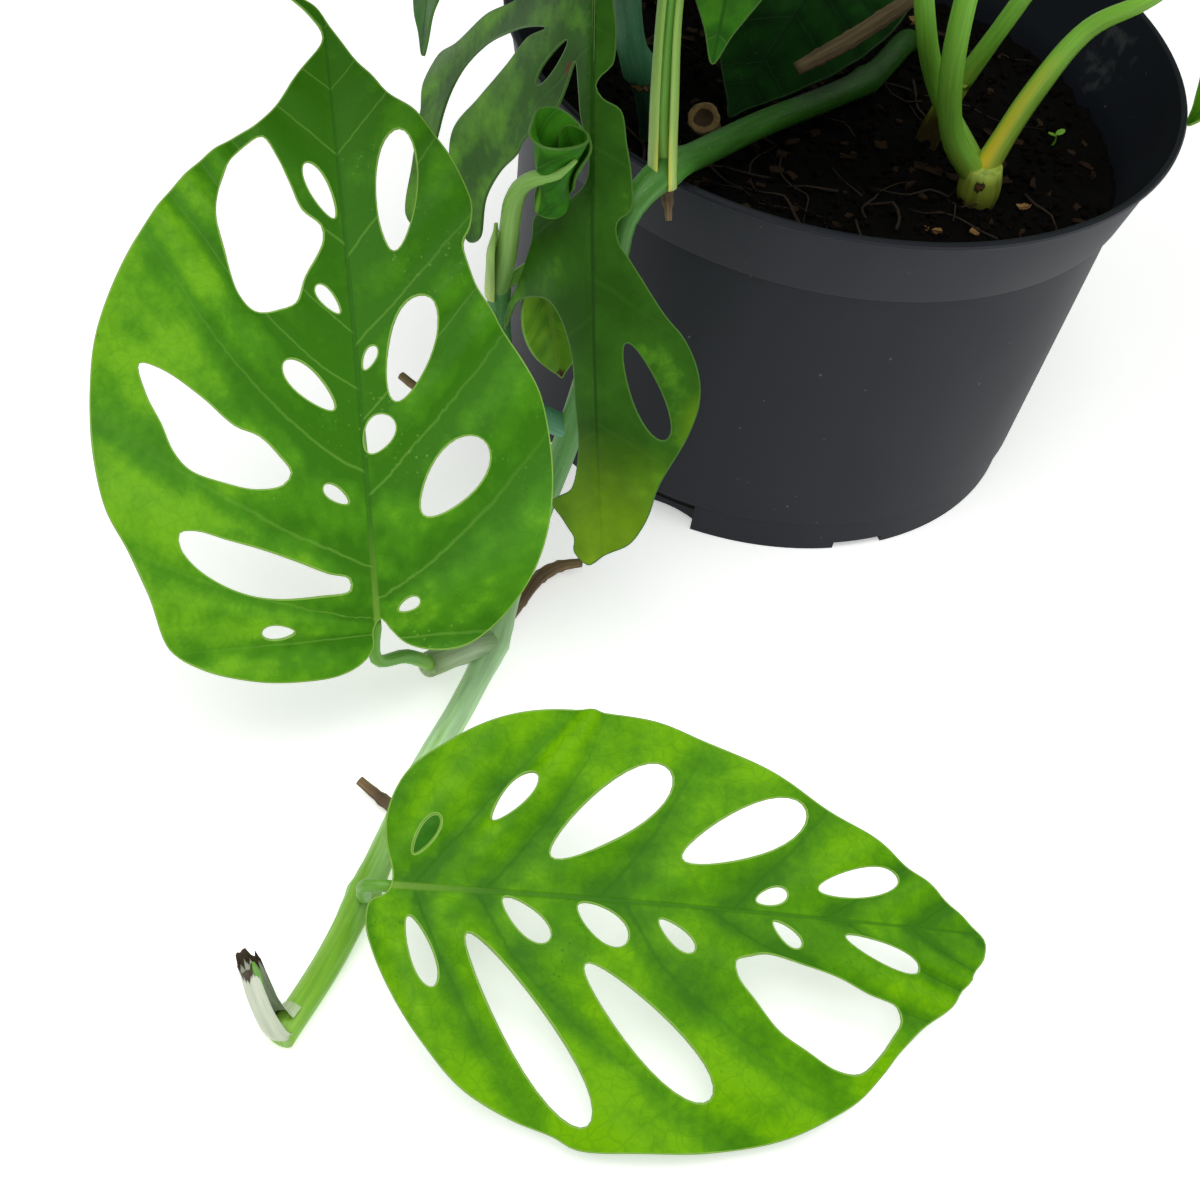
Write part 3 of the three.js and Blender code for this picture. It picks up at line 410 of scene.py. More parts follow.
# %% The usual outline and holes
VEIN_SLOPE = 0.65
VEIN_CURVE = 0.0045
HOLE_ROWS = 4
FIRST_ROW = 0.05  # as a share of the leaf's length, like the next two
ROW_STEP = 0.165
LONE_HOLE = 0.065  # the small round hole by the midrib
HALF_OUTLINE = [
    (0.015, 0.03), (-0.03, 0.12), (-0.06, 0.34), (-0.03, 0.62), (0.07, 0.86), (0.2, 0.98), (0.34, 1),
    (0.48, 0.92), (0.62, 0.76), (0.75, 0.54), (0.86, 0.31), (0.94, 0.12),
]


def usual_outline(length, left, right):
    upper = [(x * length, y * left) for x, y in HALF_OUTLINE]
    lower = [(x * length, -y * right) for x, y in reversed(HALF_OUTLINE)]
    return [*upper, (length, 0), *lower]


def usual_widths(length):
    """How far the two halves of the blade reach from the midrib."""
    return length * 0.34, length * 0.31


def seeded(seed):
    """Draws from 0 to 1 by the rule that places the holes of the CAD leaves."""
    state = seed
    while True:
        state = (state * 1664525 + 1013904223) % 4294967296
        yield state / 4294967296


def usual_holes(length, left, right, seed):
    """The holes, and the side veins that run between them, for both halves."""
    draw = seeded(seed)
    holes = []
    veins = []
    for half in (left, -right):
        sign = math.copysign(1, half)
        roots = []
        for i in range(HOLE_ROWS):
            root = length * (FIRST_ROW + ROW_STEP * i + 0.03 * next(draw))
            room = abs(half) * (1 - 1.3 * (root / length) ** 1.6)
            out = room * (0.5 + 0.05 * next(draw))
            slope = VEIN_SLOPE + 2 * VEIN_CURVE * out
            x = root + VEIN_SLOPE * out + VEIN_CURVE * out * out
            span = room * (0.46 + 0.1 * next(draw)) * math.hypot(1, slope)
            width = (5.5 + 3 * next(draw)) * min(1, room / 30)
            holes.append((x, sign * out, span, width, sign * math.degrees(math.atan2(1, slope))))
            roots.append(root)
        between = 1.5 if next(draw) < 0.5 else 2.5
        holes.append((length * (LONE_HOLE + ROW_STEP * between) + 3, sign * 5, 6, 3.2, sign * 50))
        middles = ((a + b) / 2 for a, b in zip(roots, roots[1:]))
        gaps = [roots[0] - 9, *middles, roots[-1] + 10, length * 0.82]
        veins.append([(root, VEIN_SLOPE, VEIN_CURVE) for root in gaps])
    return holes, veins


# %% [markdown]
# ## The leaf table
# at is where the petiole meets the blade, in mm. heading is the compass of the midrib, rise its slope at the
# base, roll its turn. The two big leaves and the torn one are given point by point; the others follow the
# rule.
# A side vein is its root on the midrib, its slope and its curve.

# %% Leaf table
LEAVES = {
    "leaf_trailing_upper": dict(
        at=(-74.8, -160, 35.5), heading=113.6, rise=47, length=134, bend=12, left=(8, 4), right=(16, 10),
        cup=(0.1, 0.1), quilt=1.4, grid=2.2, finish="upper",
        outline=[
            (135, 3), (140, 8), (137, 1.5), (132, -1.5), (126, -5), (117, -12), (112, -17.5), (105, -22.5),
            (97, -26), (91, -28), (86, -27), (82.5, -25), (78, -25.5), (70, -28.5), (56, -35.5), (48, -39),
            (38, -40.5), (28, -40), (18, -37.5), (9, -33), (0.5, -25.5), (-3.5, -19), (-4.2, -12), (-2.5, -6),
            (1, -2.6), (3.2, -0.9), (1, 0.9), (-3, 1.2), (-6, 4), (-8, 9), (-8.5, 17), (-7.5, 27), (-4, 38),
            (1, 45), (13, 48.5), (22, 51.7), (31, 55.6), (42, 57), (56, 56.4), (68, 54), (84, 46),
            (95.5, 37.3), (104, 28), (108, 21.5), (110, 17.5), (114.5, 12.5), (122, 6.8), (130, 0.5),
        ],
        holes=[
            (96, 4.5, 13, 4.5, 23), (95, -11.8, 26.5, 8.6, -8), (72.5, 5, 7.5, 3, 37),
            (59.5, -2.8, 5.5, 2.5, -28), (60.8, -11.6, 23.5, 9.4, -20), (54.2, 10.8, 14.5, 5.8, 43),
            (43, -3.3, 9, 6, -31), (32.5, -18.5, 20.5, 10.6, -43), (30.7, 7, 6.5, 3, 53),
            (2.5, 22, 7, 3, 85), (6, -7, 5, 2.5, -64),
        ],
        gaps=[
            [(107.5, 16), (103.5, 13.5), (97.5, 11), (92, 8.8), (88.5, 5), (85.5, 4.8), (82, 6.5),
             (77.5, 9.6), (72, 12), (70.5, 16), (70.5, 21), (74, 24), (82, 26), (91, 27.4), (97, 26),
             (102.5, 23.3), (106, 19.5)],
            [(60.5, 46), (59, 41.5), (53, 34), (46.5, 27.5), (44, 22.4), (39.6, 18.6), (36, 16.5),
             (33.5, 18.5), (33, 24), (35, 31), (38, 37.5), (42, 40.5), (48, 42.5), (54, 45)],
            [(25, 41), (25.2, 37.5), (23, 31.5), (20.5, 24.5), (17.3, 17), (14, 10), (12.5, 5.5),
             (10, 5.5), (9.3, 12), (9.5, 21), (11, 27.5), (14, 33.5), (18, 38.4), (22, 41)],
        ],
        veins=[
            [(0, 0, 0), (2.7, 0.2, 0.0035), (14.3, 0.45, 0.0035), (35, 0.5, 0.018), (53, 0.6, 0.016),
             (65, 0.8, 0.016), (84, 0.8, 0.01), (104, 0.8, 0.01)],
            [(-1, 0, 0), (7, 0.5, 0.009), (30, 0.9, 0.004), (46, 0.9, 0.003), (62.5, 0.9, 0.002),
             (81.5, 1.1, 0.002), (104, 1.1, 0)],
        ],
        scars=[(67, 55, 2.2)],
        deeper=[(45, -34, 55), (110, 8, 40), (60, 6, 34), (88, -22, 34)],
    ),
    "leaf_trailing_lower": dict(
        at=(-60.4, -217, 26), heading=8, rise=4, roll=24, length=128, bend=14, left=(2, 0), right=(4, 0),
        cup=(0.15, 0.22), quilt=2, grid=2.2, finish="lower",
        outline=[
            (128.6, -2), (124, 2.6), (115, 9.6), (104, 17), (88, 25.5), (74, 32.3), (60, 37.2), (46, 39.7),
            (34, 39.4), (22, 36), (12, 30.6), (4, 24), (0.5, 15.5), (0.8, 8.5), (2.6, 1.6), (1.5, -1.8),
            (-1.5, -3.4), (-2, -8), (0, -14), (5, -23), (11, -31), (19, -39), (30, -44.6), (38, -47.2),
            (43, -49.5), (55, -49.6), (69, -48.6), (83, -45.7), (92, -41.8), (101, -36.3), (105.6, -30.8),
            (108.5, -26.4), (113, -21.8), (119, -17), (124, -11),
        ],
        holes=[
            (8.7, 10.5, 9.3, 3.5, 61), (25.9, 19.7, 13.3, 4.6, 52), (46.3, 18, 31.5, 10.5, 40),
            (74.5, 16, 29.5, 10, 26), (80.6, 3.5, 6.8, 3.5, 18), (99.4, 8, 18.5, 5.8, 13),
            (9.4, -13, 15, 4.5, -67), (31.4, -26.9, 44.5, 9.5, -54), (29.9, -5.2, 12.5, 5, -41),
            (55.5, -26, 36.3, 9, -43), (45.5, -4.9, 12.3, 6.2, -35), (60.7, -6.2, 9.3, 3.5, -40),
            (84, -4, 7.5, 3, -39), (105, -6, 17.3, 4.2, -19),
        ],
        gaps=[
            [(73, -10.5), (76.5, -9), (80, -8.3), (88, -10), (95.5, -12), (102, -14.7), (108.6, -17),
             (109.4, -19.5), (107, -23.2), (104.6, -27), (101, -30.8), (96, -30.5), (89, -27), (83, -23.6),
             (77.5, -18), (73.5, -13.4)],
        ],
        veins=[
            [(-6, 0.4, 0), (6.5, 0.8, 0), (21, 0.9, -0.008), (44.5, 0.85, -0.007), (72.5, 0.9, 0),
             (93, 1.4, 0), (112, 1.4, 0)],
            [(-4, 0.1, 0.004), (7, 0.4, 0.004), (19.5, 0.45, 0.0155), (50, 0.4, 0.022), (67, 1.4, 0.06),
             (97, 1.4, 0.06)],
        ],
        scars=[(129, -2, 1.5)],
    ),
    "leaf_hanging": dict(
        at=(-60.5, -71, 169), heading=-72, rise=-56, roll=35, length=147, bend=14, left=(-60, -6),
        right=(-38, -14), cup=(0.1, 0.1), quilt=0.7, grid=2.4, finish="hanging", seat=2.4,
        outline=[
            (144.5, -4.5), (141, 0.5), (138, 6.3), (133, 10), (123, 14), (113, 20), (106, 22.6), (99.5, 22.5),
            (92, 19.7), (86.5, 15.5), (79, 11), (74, 8), (70.5, 5.8), (66.5, 5.6), (64, 8.6), (58, 8.8),
            (50.5, 7.8), (43.5, 6.6), (41, 2.4), (38.5, 0.9), (36.5, 2.2), (34.5, 4.6), (28, 5.4), (19, 4.8),
            (8, 9), (-3, 8), (-4, 3), (2, 1.5), (2, -1.5), (-4, -5), (-5, -12), (1, -19), (12, -24),
            (20, -30), (25, -48), (31.5, -62.5), (35, -73), (41, -76.4), (49, -73.5), (61, -70.5), (73, -71),
            (75, -68), (66, -65.5), (58, -63), (53, -62), (48, -62), (43, -60.9), (37.6, -57), (31.8, -47),
            (29, -37), (27.4, -27.5), (27.5, -18.5), (29.5, -26), (35.3, -34.1), (43.4, -45.5), (51.5, -55),
            (62, -53), (71, -48.5), (76, -43.5), (74.3, -39.5), (65.2, -38.2), (58.9, -33.6), (54.4, -27.4),
            (51.5, -25.5), (48.3, -20), (44, -13.2), (39.3, -9.9), (34, -6.6), (39.9, -5), (45, -4),
            (51.4, -1.4), (56.6, -1.4), (59.3, -3.2), (63.8, -10.8), (67.5, -19.8), (72.5, -20.6),
            (83.5, -25.4), (89.5, -29), (94, -29.4), (87.3, -25.5), (85, -20), (85, -13.8), (89, -10),
            (97, -6.8), (106, -6.2), (117.4, -5.7), (126.5, -8), (131, -14), (135.5, -10.4), (138.2, -7.8),
            (142, -8.1),
        ],
        holes=[(103, 11, 23, 6.4, 20), (34.5, -15.5, 15, 3.2, -52)],
        veins=[
            [(8, 0.65, 0.0045), (26, 0.65, 0.0045), (50, 0.65, 0.0045), (78, 0.65, 0.0045),
             (110, 0.65, 0.0045)],
            [(6, 0.5, 0.001), (30, 0.6, 0.002), (58, 0.6, 0.0045), (86, 0.65, 0.0045), (112, 0.65, 0.0045)],
        ],
        rib=0.35,
        aged=[(147, -4, 38), (112, 27, 11), (134, -16, 9)],
        scars=[(36, -8, 4), (44, -6, 2.5), (47, -12, 2.5), (128, 13, 1.6), (86, 16, 1.5)],
    ),
    "leaf_front_top": dict(
        at=(20, -38, 246), heading=-103, rise=2, roll=6, length=128, bend=34, seed=3,
        scars=[(127, -2, 4), (114, -9, 4), (120, -6, 4)]),
    "leaf_left_front": dict(
        at=(-46, -60, 226), heading=-158, rise=8, roll=-10, length=132, bend=40, seed=14),
    "leaf_left_back": dict(at=(-22, 26, 236), heading=160, rise=22, roll=6, length=126, bend=45, seed=25),
    "leaf_left_top": dict(at=(-58, -8, 270), heading=-178, rise=34, roll=-16, length=118, bend=48, seed=36),
    "leaf_right_top": dict(at=(86, 24, 240), heading=8, rise=18, roll=12, length=122, bend=46, seed=47),
    "leaf_back": dict(at=(4, 86, 238), heading=84, rise=14, roll=-8, length=134, bend=44, seed=58),
    "leaf_right_back": dict(at=(44, 76, 232), heading=32, rise=16, roll=-6, length=124, bend=44, seed=69),
    "leaf_top": dict(at=(-4, 26, 286), heading=62, rise=40, roll=10, length=104, bend=46, seed=77),
    "leaf_right_front": dict(
        at=(98, 6, 168), heading=-42, rise=6, roll=-20, length=118, bend=42, seed=81),
    "leaf_right_low": dict(
        at=(138, 44, 152), heading=-140, rise=-26, roll=12, length=84, bend=16, seed=92, finish="lower"),
    "leaf_centre_hanging": dict(
        at=(-33, -6, 225.5), heading=-88, rise=-46, length=112, bend=10, width=(26, 26), seed=103),
    "leaf_left_hanging": dict(
        at=(-83.5, -30, 210), heading=-107, rise=-42, roll=52, length=98, bend=22, seed=114),
    "leaf_young_solid": dict(
        at=(-3, 27, 120), heading=-112, rise=-18, length=62, bend=14, width=(24, 22), holes=[],
        quilt=0.4, finish="dark"),
    "leaf_young_folded": dict(
        at=(-57, -91, 85), heading=-8, rise=-72, roll=60, length=28, bend=8, width=(8, 8), holes=[],
        left=(35, 25), right=(35, 25), quilt=0, wave=0, grid=1.5, finish="young",
        aged=[(14, 6, 6)], scars=[(27, 0, 4)]),
}
print("leaves", len(LEAVES))

# %% [markdown]
# ## Bending the leaf
# The blade folds a little at the midrib, curls along its length, bulges between the side veins and ripples
# towards its margin. A cloth simulation could give that, but a formula keeps the blade where its CAD solid
# is. x runs along the midrib, y across it, and z is the leaf's upper side.

# %% Bending
BLADE = 0.6  # its thickness, in mm like the rest
BULGE = 0.8  # how far the blade swells between two side veins
RIPPLE = 1.2
RIPPLE_STEP = 11
RIPPLE_REACH = 45  # the ripple has its full height this far from the midrib


def vein_count(veins, x, out):
    """How many side veins lie between the base and a point, with a share for the way to the next."""
    lines = [root + slope * out + curve * out * out for root, slope, curve in veins]
    lines = [lines[0] - 14, *lines, lines[-1] + 14]
    for i, (a, b) in enumerate(zip(lines, lines[1:])):
        if x < b or i == len(lines) - 2:
            return i - 1 + (x - a) / max(b - a, 1)


def bent(leaf, x, y):
    """Where a point of the flat blade goes when the leaf is bent."""
    length = leaf["length"]
    bend = math.radians(leaf.get("bend", 0)) / length
    left = y >= 0
    along = min(1, max(0, x / length))
    start, end = leaf.get("left" if left else "right", (8, 4))
    fold = math.radians(start + (end - start) * along)
    cup = math.radians(leaf.get("cup", (0.25, 0.25))[0 if left else 1])
    out = abs(y)
    vein = vein_count(leaf["veins"][0 if left else 1], x, out)
    bulge = leaf.get("quilt", BULGE) * math.sin(math.pi * vein) ** 2 * min(1, out / 12)
    swing = math.sin(x / RIPPLE_STEP + (0 if y > 0 else 2))
    ripple = leaf.get("wave", RIPPLE) * swing * (out / RIPPLE_REACH) ** 2
    aside = (math.sin(fold) - math.sin(fold - cup * out)) / cup * (1 if left else -1)
    height = (math.cos(fold - cup * out) - math.cos(fold)) / cup + bulge + ripple + BLADE / 2
    return Vector((math.sin(bend * x) * (1 / bend + height), aside,
                   (math.cos(bend * x) - 1) / bend + height * math.cos(bend * x)))


def placing(leaf):
    """Takes a leaf from its own axes in mm to its place on the plant in metres."""
    turn = Matrix.Rotation(math.radians(leaf["heading"]), 4, "Z")
    lift = Matrix.Rotation(math.radians(-leaf["rise"]), 4, "Y")
    roll = Matrix.Rotation(math.radians(leaf.get("roll", 0)), 4, "X")
    return Matrix.Scale(MM, 4) @ Matrix.Translation(leaf["at"]) @ turn @ lift @ roll


# %% [markdown]
# The blade is cut in the flat. triangle_fill needs only the loops of edges and leaves the holes open by
# itself. The fill has long thin triangles, which would bend in creases, and the grid of planes cuts those up.

# %% Flat blade
MARGIN_WIDTH = 0.3
WELD = 0.01  # points closer than this, in mm, become one
SNAP = 0.002  # a point this close to a slicing plane counts as on it


def flat_blade(outline, holes, grid):
    """The blade in the flat, in mm, sliced by a grid of planes. Its margin is a narrow band of its own."""
    bm = bmesh.new()
    for loop in [outline, *holes]:
        corners = [bm.verts.new((p.x, p.y, 0)) for p in loop]
        for i, corner in enumerate(corners):
            bm.edges.new((corners[i - 1], corner))
    bmesh.ops.triangle_fill(bm, use_beauty=True, use_dissolve=False, edges=bm.edges[:])
    bmesh.ops.recalc_face_normals(bm, faces=bm.faces[:])
    if sum(face.normal.z * face.calc_area() for face in bm.faces) < 0:
        bmesh.ops.reverse_faces(bm, faces=bm.faces[:])
    band = bmesh.ops.inset_region(bm, faces=bm.faces[:], use_boundary=True, thickness=MARGIN_WIDTH)
    for face in band["faces"]:
        face.material_index = 2
    low = Vector((min(p.x for p in outline), min(p.y for p in outline)))
    high = Vector((max(p.x for p in outline), max(p.y for p in outline)))
    for axis in (0, 1):
        steps = [0.0]
        while steps[-1] + grid < high[axis]:
            steps.append(steps[-1] + grid)
        while steps[0] - grid > low[axis]:
            steps.insert(0, steps[0] - grid)
        normal = Vector((1 - axis, axis, 0))
        for step in steps:
            bmesh.ops.bisect_plane(bm, geom=bm.verts[:] + bm.edges[:] + bm.faces[:], dist=SNAP,
                                   plane_co=normal * step, plane_no=normal)
    bmesh.ops.remove_doubles(bm, verts=bm.verts[:], dist=WELD)
    return bm


# %% [markdown]
# Every mesh becomes a piece in the same way: it gets its materials, joins the scene and rides with the plant.
# Where it stands for a node of the frame, the frame's own part for that node is hidden. Sheets get their wall
# from a Solidify modifier, which keeps the mesh itself simple.

# %% Pieces and walls
def new_piece(name, bm, materials, node=None, smooth=True):
    """Makes the bmesh an object that rides with the plant, and stands for a CAD node if one is named."""
    mesh = bpy.data.meshes.new(name)
    bm.to_mesh(mesh)
    bm.free()
    for material in materials:
        mesh.materials.append(material)
    for polygon in mesh.polygons:
        polygon.use_smooth = smooth
    piece = bpy.data.objects.new(name, mesh)
    bpy.context.scene.collection.objects.link(piece)
    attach(piece, "root")
    if node:
        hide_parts(node)
    print(name, len(mesh.polygons), "faces")
    return piece


def thicken(piece, thickness, offset=-1, inner=0, rim=0):
    """Gives an open sheet its wall, in mm. inner and rim are the steps from a face's material to those of
    the new side and of the cut edge."""
    shell = piece.modifiers.new("thickness", "SOLIDIFY")
    shell.thickness = thickness * MM
    shell.offset = offset
    shell.material_offset = inner
    shell.material_offset_rim = rim


# %% [markdown]
# The finish has to know where on the leaf it is, and bending would spoil that. So the maps are laid while
# the blade is still flat, and the bend carries them along.

# %% Maps and painted spots
def painted(spots, x, y):
    """How strongly a point is painted: 1 in the middle of a spot, 0 at its radius."""
    return max([0.0, *(1 - math.hypot(x - a, y - b) / r for a, b, r in spots)])


def lay_maps(bm, leaf):
    """Writes the two maps and the painted spots before the blade is bent."""
    blade = bm.loops.layers.uv.new("blade")
    veins = bm.loops.layers.uv.new("veins")
    for layer, row in (("aged", "aged"), ("scar", "scars"), ("deeper", "deeper")):
        paint = bm.verts.layers.float.new(layer)
        for vert in bm.verts:
            vert[paint] = painted(leaf.get(row, []), vert.co.x, vert.co.y)
    for face in bm.faces:
        half = 0 if face.calc_center_median().y >= 0 else 1
        for loop in face.loops:
            x, y, _ = loop.vert.co
            loop[blade].uv = (x / 100, y / 100)
            loop[veins].uv = (vein_count(leaf["veins"][half], x, abs(y)), abs(y) / 100)


# %% [markdown]
# Now each leaf is drawn, sliced, mapped, bent, put in its place and given its thickness.

# %% Leaves
def edge_lines(leaf, outline_step, gap_step):
    """The margin of a leaf, and the edges of its holes, as smooth lines."""
    length = leaf["length"]
    widths = leaf.get("width", usual_widths(length))
    outline = leaf.get("outline", usual_outline(length, *widths))
    loops = [pod(*hole) for hole in leaf["holes"]]
    loops += [smooth_line(gap, gap_step, closed=True) for gap in leaf.get("gaps", [])]
    return smooth_line(outline, outline_step, closed=True), loops


def make_leaf(name, leaf):
    if "veins" not in leaf:
        widths = leaf.get("width", usual_widths(leaf["length"]))
        holes, leaf["veins"] = usual_holes(leaf["length"], *widths, leaf.get("seed", 1))
        leaf.setdefault("holes", holes)
    outline, loops = edge_lines(leaf, 1.3, 1.3)
    bm = flat_blade(outline, loops, leaf.get("grid", 3.2))
    lay_maps(bm, leaf)
    for vert in bm.verts:
        vert.co = bent(leaf, vert.co.x, vert.co.y)
    bm.transform(placing(leaf))
    kind = leaf.get("finish", "usual")
    finishes = [LEAF_FINISHES[kind], UNDERSIDE, MARGINS.get(kind, HIGHLIGHT_MARGIN)]
    thicken(new_piece(f"{name}_blade", bm, finishes, name), BLADE, inner=1, rim=2)


for leaf_name, leaf_row in LEAVES.items():
    make_leaf(leaf_name, leaf_row)

# %% [markdown]
# One hole of the lower leaf has not opened: a thin skin is left in it. It is a small blade with the outline
# of that hole, bent with the leaf, so that it lies flush.

# %% Closed hole
SKIN = 0.2


def make_skin():
    leaf = LEAVES["leaf_trailing_lower"]
    bm = flat_blade(pod(*leaf["holes"][0]), [], 1.5)
    lay_maps(bm, leaf)
    for vert in bm.verts:
        vert.co = bent(leaf, vert.co.x, vert.co.y) - Vector((0, 0, SKIN))
    bm.transform(placing(leaf))
    piece = new_piece("leaf_trailing_lower_skin", bm, [LEAF_FINISHES["usual"], UNDERSIDE, HIGHLIGHT_MARGIN])
    thicken(piece, SKIN, inner=1)


make_skin()

# %% [markdown]
# ## Stems
# Stems and petioles are fleshy rods: thick where they leave a node, swollen again under the blade, with
# fine streaks along them. A bevelled curve would do, but a ring that is extruded along a line can also be
# opened into a sheath, and its points can carry where they lie on the stem, which the streaks follow.

# %% Sweeping a ring
SCAR_GROOVE = 0.25  # the leaf scar at a node is a groove this deep, in mm
STREAK_STEP = 40  # one unit of the streaks is this many mm along a stem


def between(stops, share):
    """The value of a list of (share, value) stops at a share, eased from stop to stop."""
    for (a, low), (b, high) in zip(stops, stops[1:]):
        if share <= b:
            t = max(0, (share - a) / (b - a))
            return low + (high - low) * t * t * (3 - 2 * t)
    return stops[-1][1]


def sweep(bm, points, radii, sides=14, spacing=2.5, nodes=(), opening=None, facing=(0, 0, 1), first=0,
          ragged=0):
    """Extrudes a ring along a smooth line, in mm. radii are (share of the way, radius) stops.
    nodes are (point, swelling, width). opening is the share of the ring left out, on the side that it
    faces. ragged is how far the last ring is torn. first shifts the streaks, so that no two look alike."""
    stalk = bm.verts.layers.float_vector.get("stalk") or bm.verts.layers.float_vector.new("stalk")
    share = bm.verts.layers.float.get("share") or bm.verts.layers.float.new("share")
    line = smooth_line(points, spacing)
    lengths = [0.0]
    for a, b in zip(line, line[1:]):
        lengths.append(lengths[-1] + (b - a).length)
    side = Vector(facing)
    ring = bmesh.ops.create_circle(bm, segments=sides, radius=1)["verts"]
    if opening is not None:
        missing = [v for v in ring if v.co.x > math.cos(math.pi * opening)]
        bmesh.ops.delete(bm, geom=missing, context="VERTS")
        ring = [v for v in ring if v.is_valid]
    edges = list(dict.fromkeys(edge for vert in ring for edge in vert.link_edges))
    ends = []
    previous = Matrix.Identity(4)
    for i, centre in enumerate(line):
        ahead = (line[min(i + 1, len(line) - 1)] - line[max(i - 1, 0)]).normalized()
        side = (side - ahead * side.dot(ahead)).normalized()
        way = lengths[i] / lengths[-1]
        radius = between(radii, way)
        for point, swelling, width in nodes:
            off = (centre - Vector(point)).length / width
            radius += swelling * math.exp(-off * off) - SCAR_GROOVE * math.exp(-(off * 4 - 2) ** 2)
        placed = Matrix.Translation(centre) @ Matrix((side, ahead.cross(side), ahead)).transposed().to_4x4()
        placed = placed @ Matrix.Diagonal((radius, radius, radius, 1))
        if i:
            made = bmesh.ops.extrude_edge_only(bm, edges=edges)["geom"]
            ring = [part for part in made if isinstance(part, bmesh.types.BMVert)]
            edges = [part for part in made if isinstance(part, bmesh.types.BMEdge)
                     and all(vert in ring for vert in part.verts)]
        bmesh.ops.transform(bm, matrix=placed @ previous.inverted(), verts=ring)
        previous = placed
        undo = placed.inverted()
        for vert in ring:
            local = undo @ vert.co
            vert[stalk] = (local.x, local.y, lengths[i] / STREAK_STEP + first)
            vert[share] = way
        if i in (0, len(line) - 1):
            ends.append(edges)
    for vert in ring:
        vert.co += ahead * ragged * noise.noise(vert.co * 0.8)
    if opening is None:
        for loop in ends:
            bmesh.ops.edgeloop_fill(bm, edges=loop)
    bmesh.ops.recalc_face_normals(bm, faces=bm.faces[:])
    return ends[-1]


# %% [markdown]
# The skin of a stem changes colour from foot to tip, has fine streaks and pale pores, and dries brown where a
# leaf fell. Noise along the axes would cut straight through the bends of a stem. So the finish reads where a
# point lies on its stem, which the sweep has written on the points.

# %% Skin of a stem
def stem_skin(tree, stalk, way, streaks, greens, streak, fleck):
    """The colour along the stem, darker in its streaks, with the pores on it."""
    cloud = add_node(tree, "ShaderNodeTexNoise", {"Vector": stalk, "Scale": 1.1, "Detail": 2})
    wander = add_node(tree, "ShaderNodeMath", {0: cloud, 1: 0.3, 2: -0.15}, operation="MULTIPLY_ADD")
    place = add_node(tree, "ShaderNodeMath", {0: way, 1: wander}, operation="ADD", use_clamp=True)
    ramp = add_node(tree, "ShaderNodeValToRGB", {0: place})
    stops = ramp.color_ramp.elements
    stops[0].color, stops[1].color = linear(greens[0][1]), linear(greens[-1][1])
    for share, green in greens[1:-1]:
        stops.new(share).color = linear(green)
    dark = add_node(tree, "ShaderNodeMapRange",
                    {"Value": streaks, "From Min": 0.35, "From Max": 0.7, "To Min": 1, "To Max": 1 - streak})
    streaked = add_node(tree, "ShaderNodeMix", {0: 1.0, 6: ramp, 7: dark}, data_type="RGBA",
                        blend_type="MULTIPLY")
    spots = add_node(tree, "ShaderNodeTexVoronoi", {"Vector": stalk, "Scale": 9}, feature="F1")
    pale = add_node(tree, "ShaderNodeMapRange",
                    {"Value": spots, "From Min": 0.08, "From Max": 0.16, "To Min": 0.35, "To Max": 0})
    return add_node(tree, "ShaderNodeMix", {0: pale, 6: streaked.outputs[2], 7: linear(fleck)},
                    data_type="RGBA").outputs[2]


# %% [markdown]
# Two things can lie on that skin: a yellow line in the groove at the foot of a petiole, and scars. The line
# follows the side of the ring that the sweep faces, and the scars are painted on the points.

# %% Stripe and scars
def foot_stripe(tree, colour, stalk, way, stripe):
    """A coloured line at the foot of the stem, along the side that the sweep faces."""
    around = add_node(tree, "ShaderNodeSeparateXYZ", {0: stalk})
    facing = add_node(tree, "ShaderNodeMapRange",
                      {"Value": around.outputs[0], "From Min": 0.75, "From Max": 0.95})
    early = add_node(tree, "ShaderNodeMapRange",
                     {"Value": way, "From Min": 0.04, "From Max": 0.32, "To Min": 0.9, "To Max": 0})
    line = add_node(tree, "ShaderNodeMath", {0: facing, 1: early}, operation="MULTIPLY")
    return add_node(tree, "ShaderNodeMix", {0: line, 6: colour, 7: linear(stripe)},
                    data_type="RGBA").outputs[2]


def dry_scars(tree, colour, streaks, dried):
    """Painted scars, each with a dark rim and a paler middle."""
    scar = add_node(tree, "ShaderNodeAttribute", attribute_name="scar").outputs[2]
    edge = add_node(tree, "ShaderNodeMath", {0: scar, 1: streaks}, operation="ADD")
    rim = add_node(tree, "ShaderNodeMapRange", {"Value": edge, "From Min": 0.72, "From Max": 0.82})
    core = add_node(tree, "ShaderNodeMapRange", {"Value": edge, "From Min": 0.85, "From Max": 1.0})
    for share, mark in ((rim, "#3a2c1c"), (core, dried)):
        colour = add_node(tree, "ShaderNodeMix", {0: share, 6: colour, 7: linear(mark)},
                          data_type="RGBA").outputs[2]
    return colour


# %% [markdown]
# The finish puts them together. The streaks are used twice, as colour and as a faint relief.

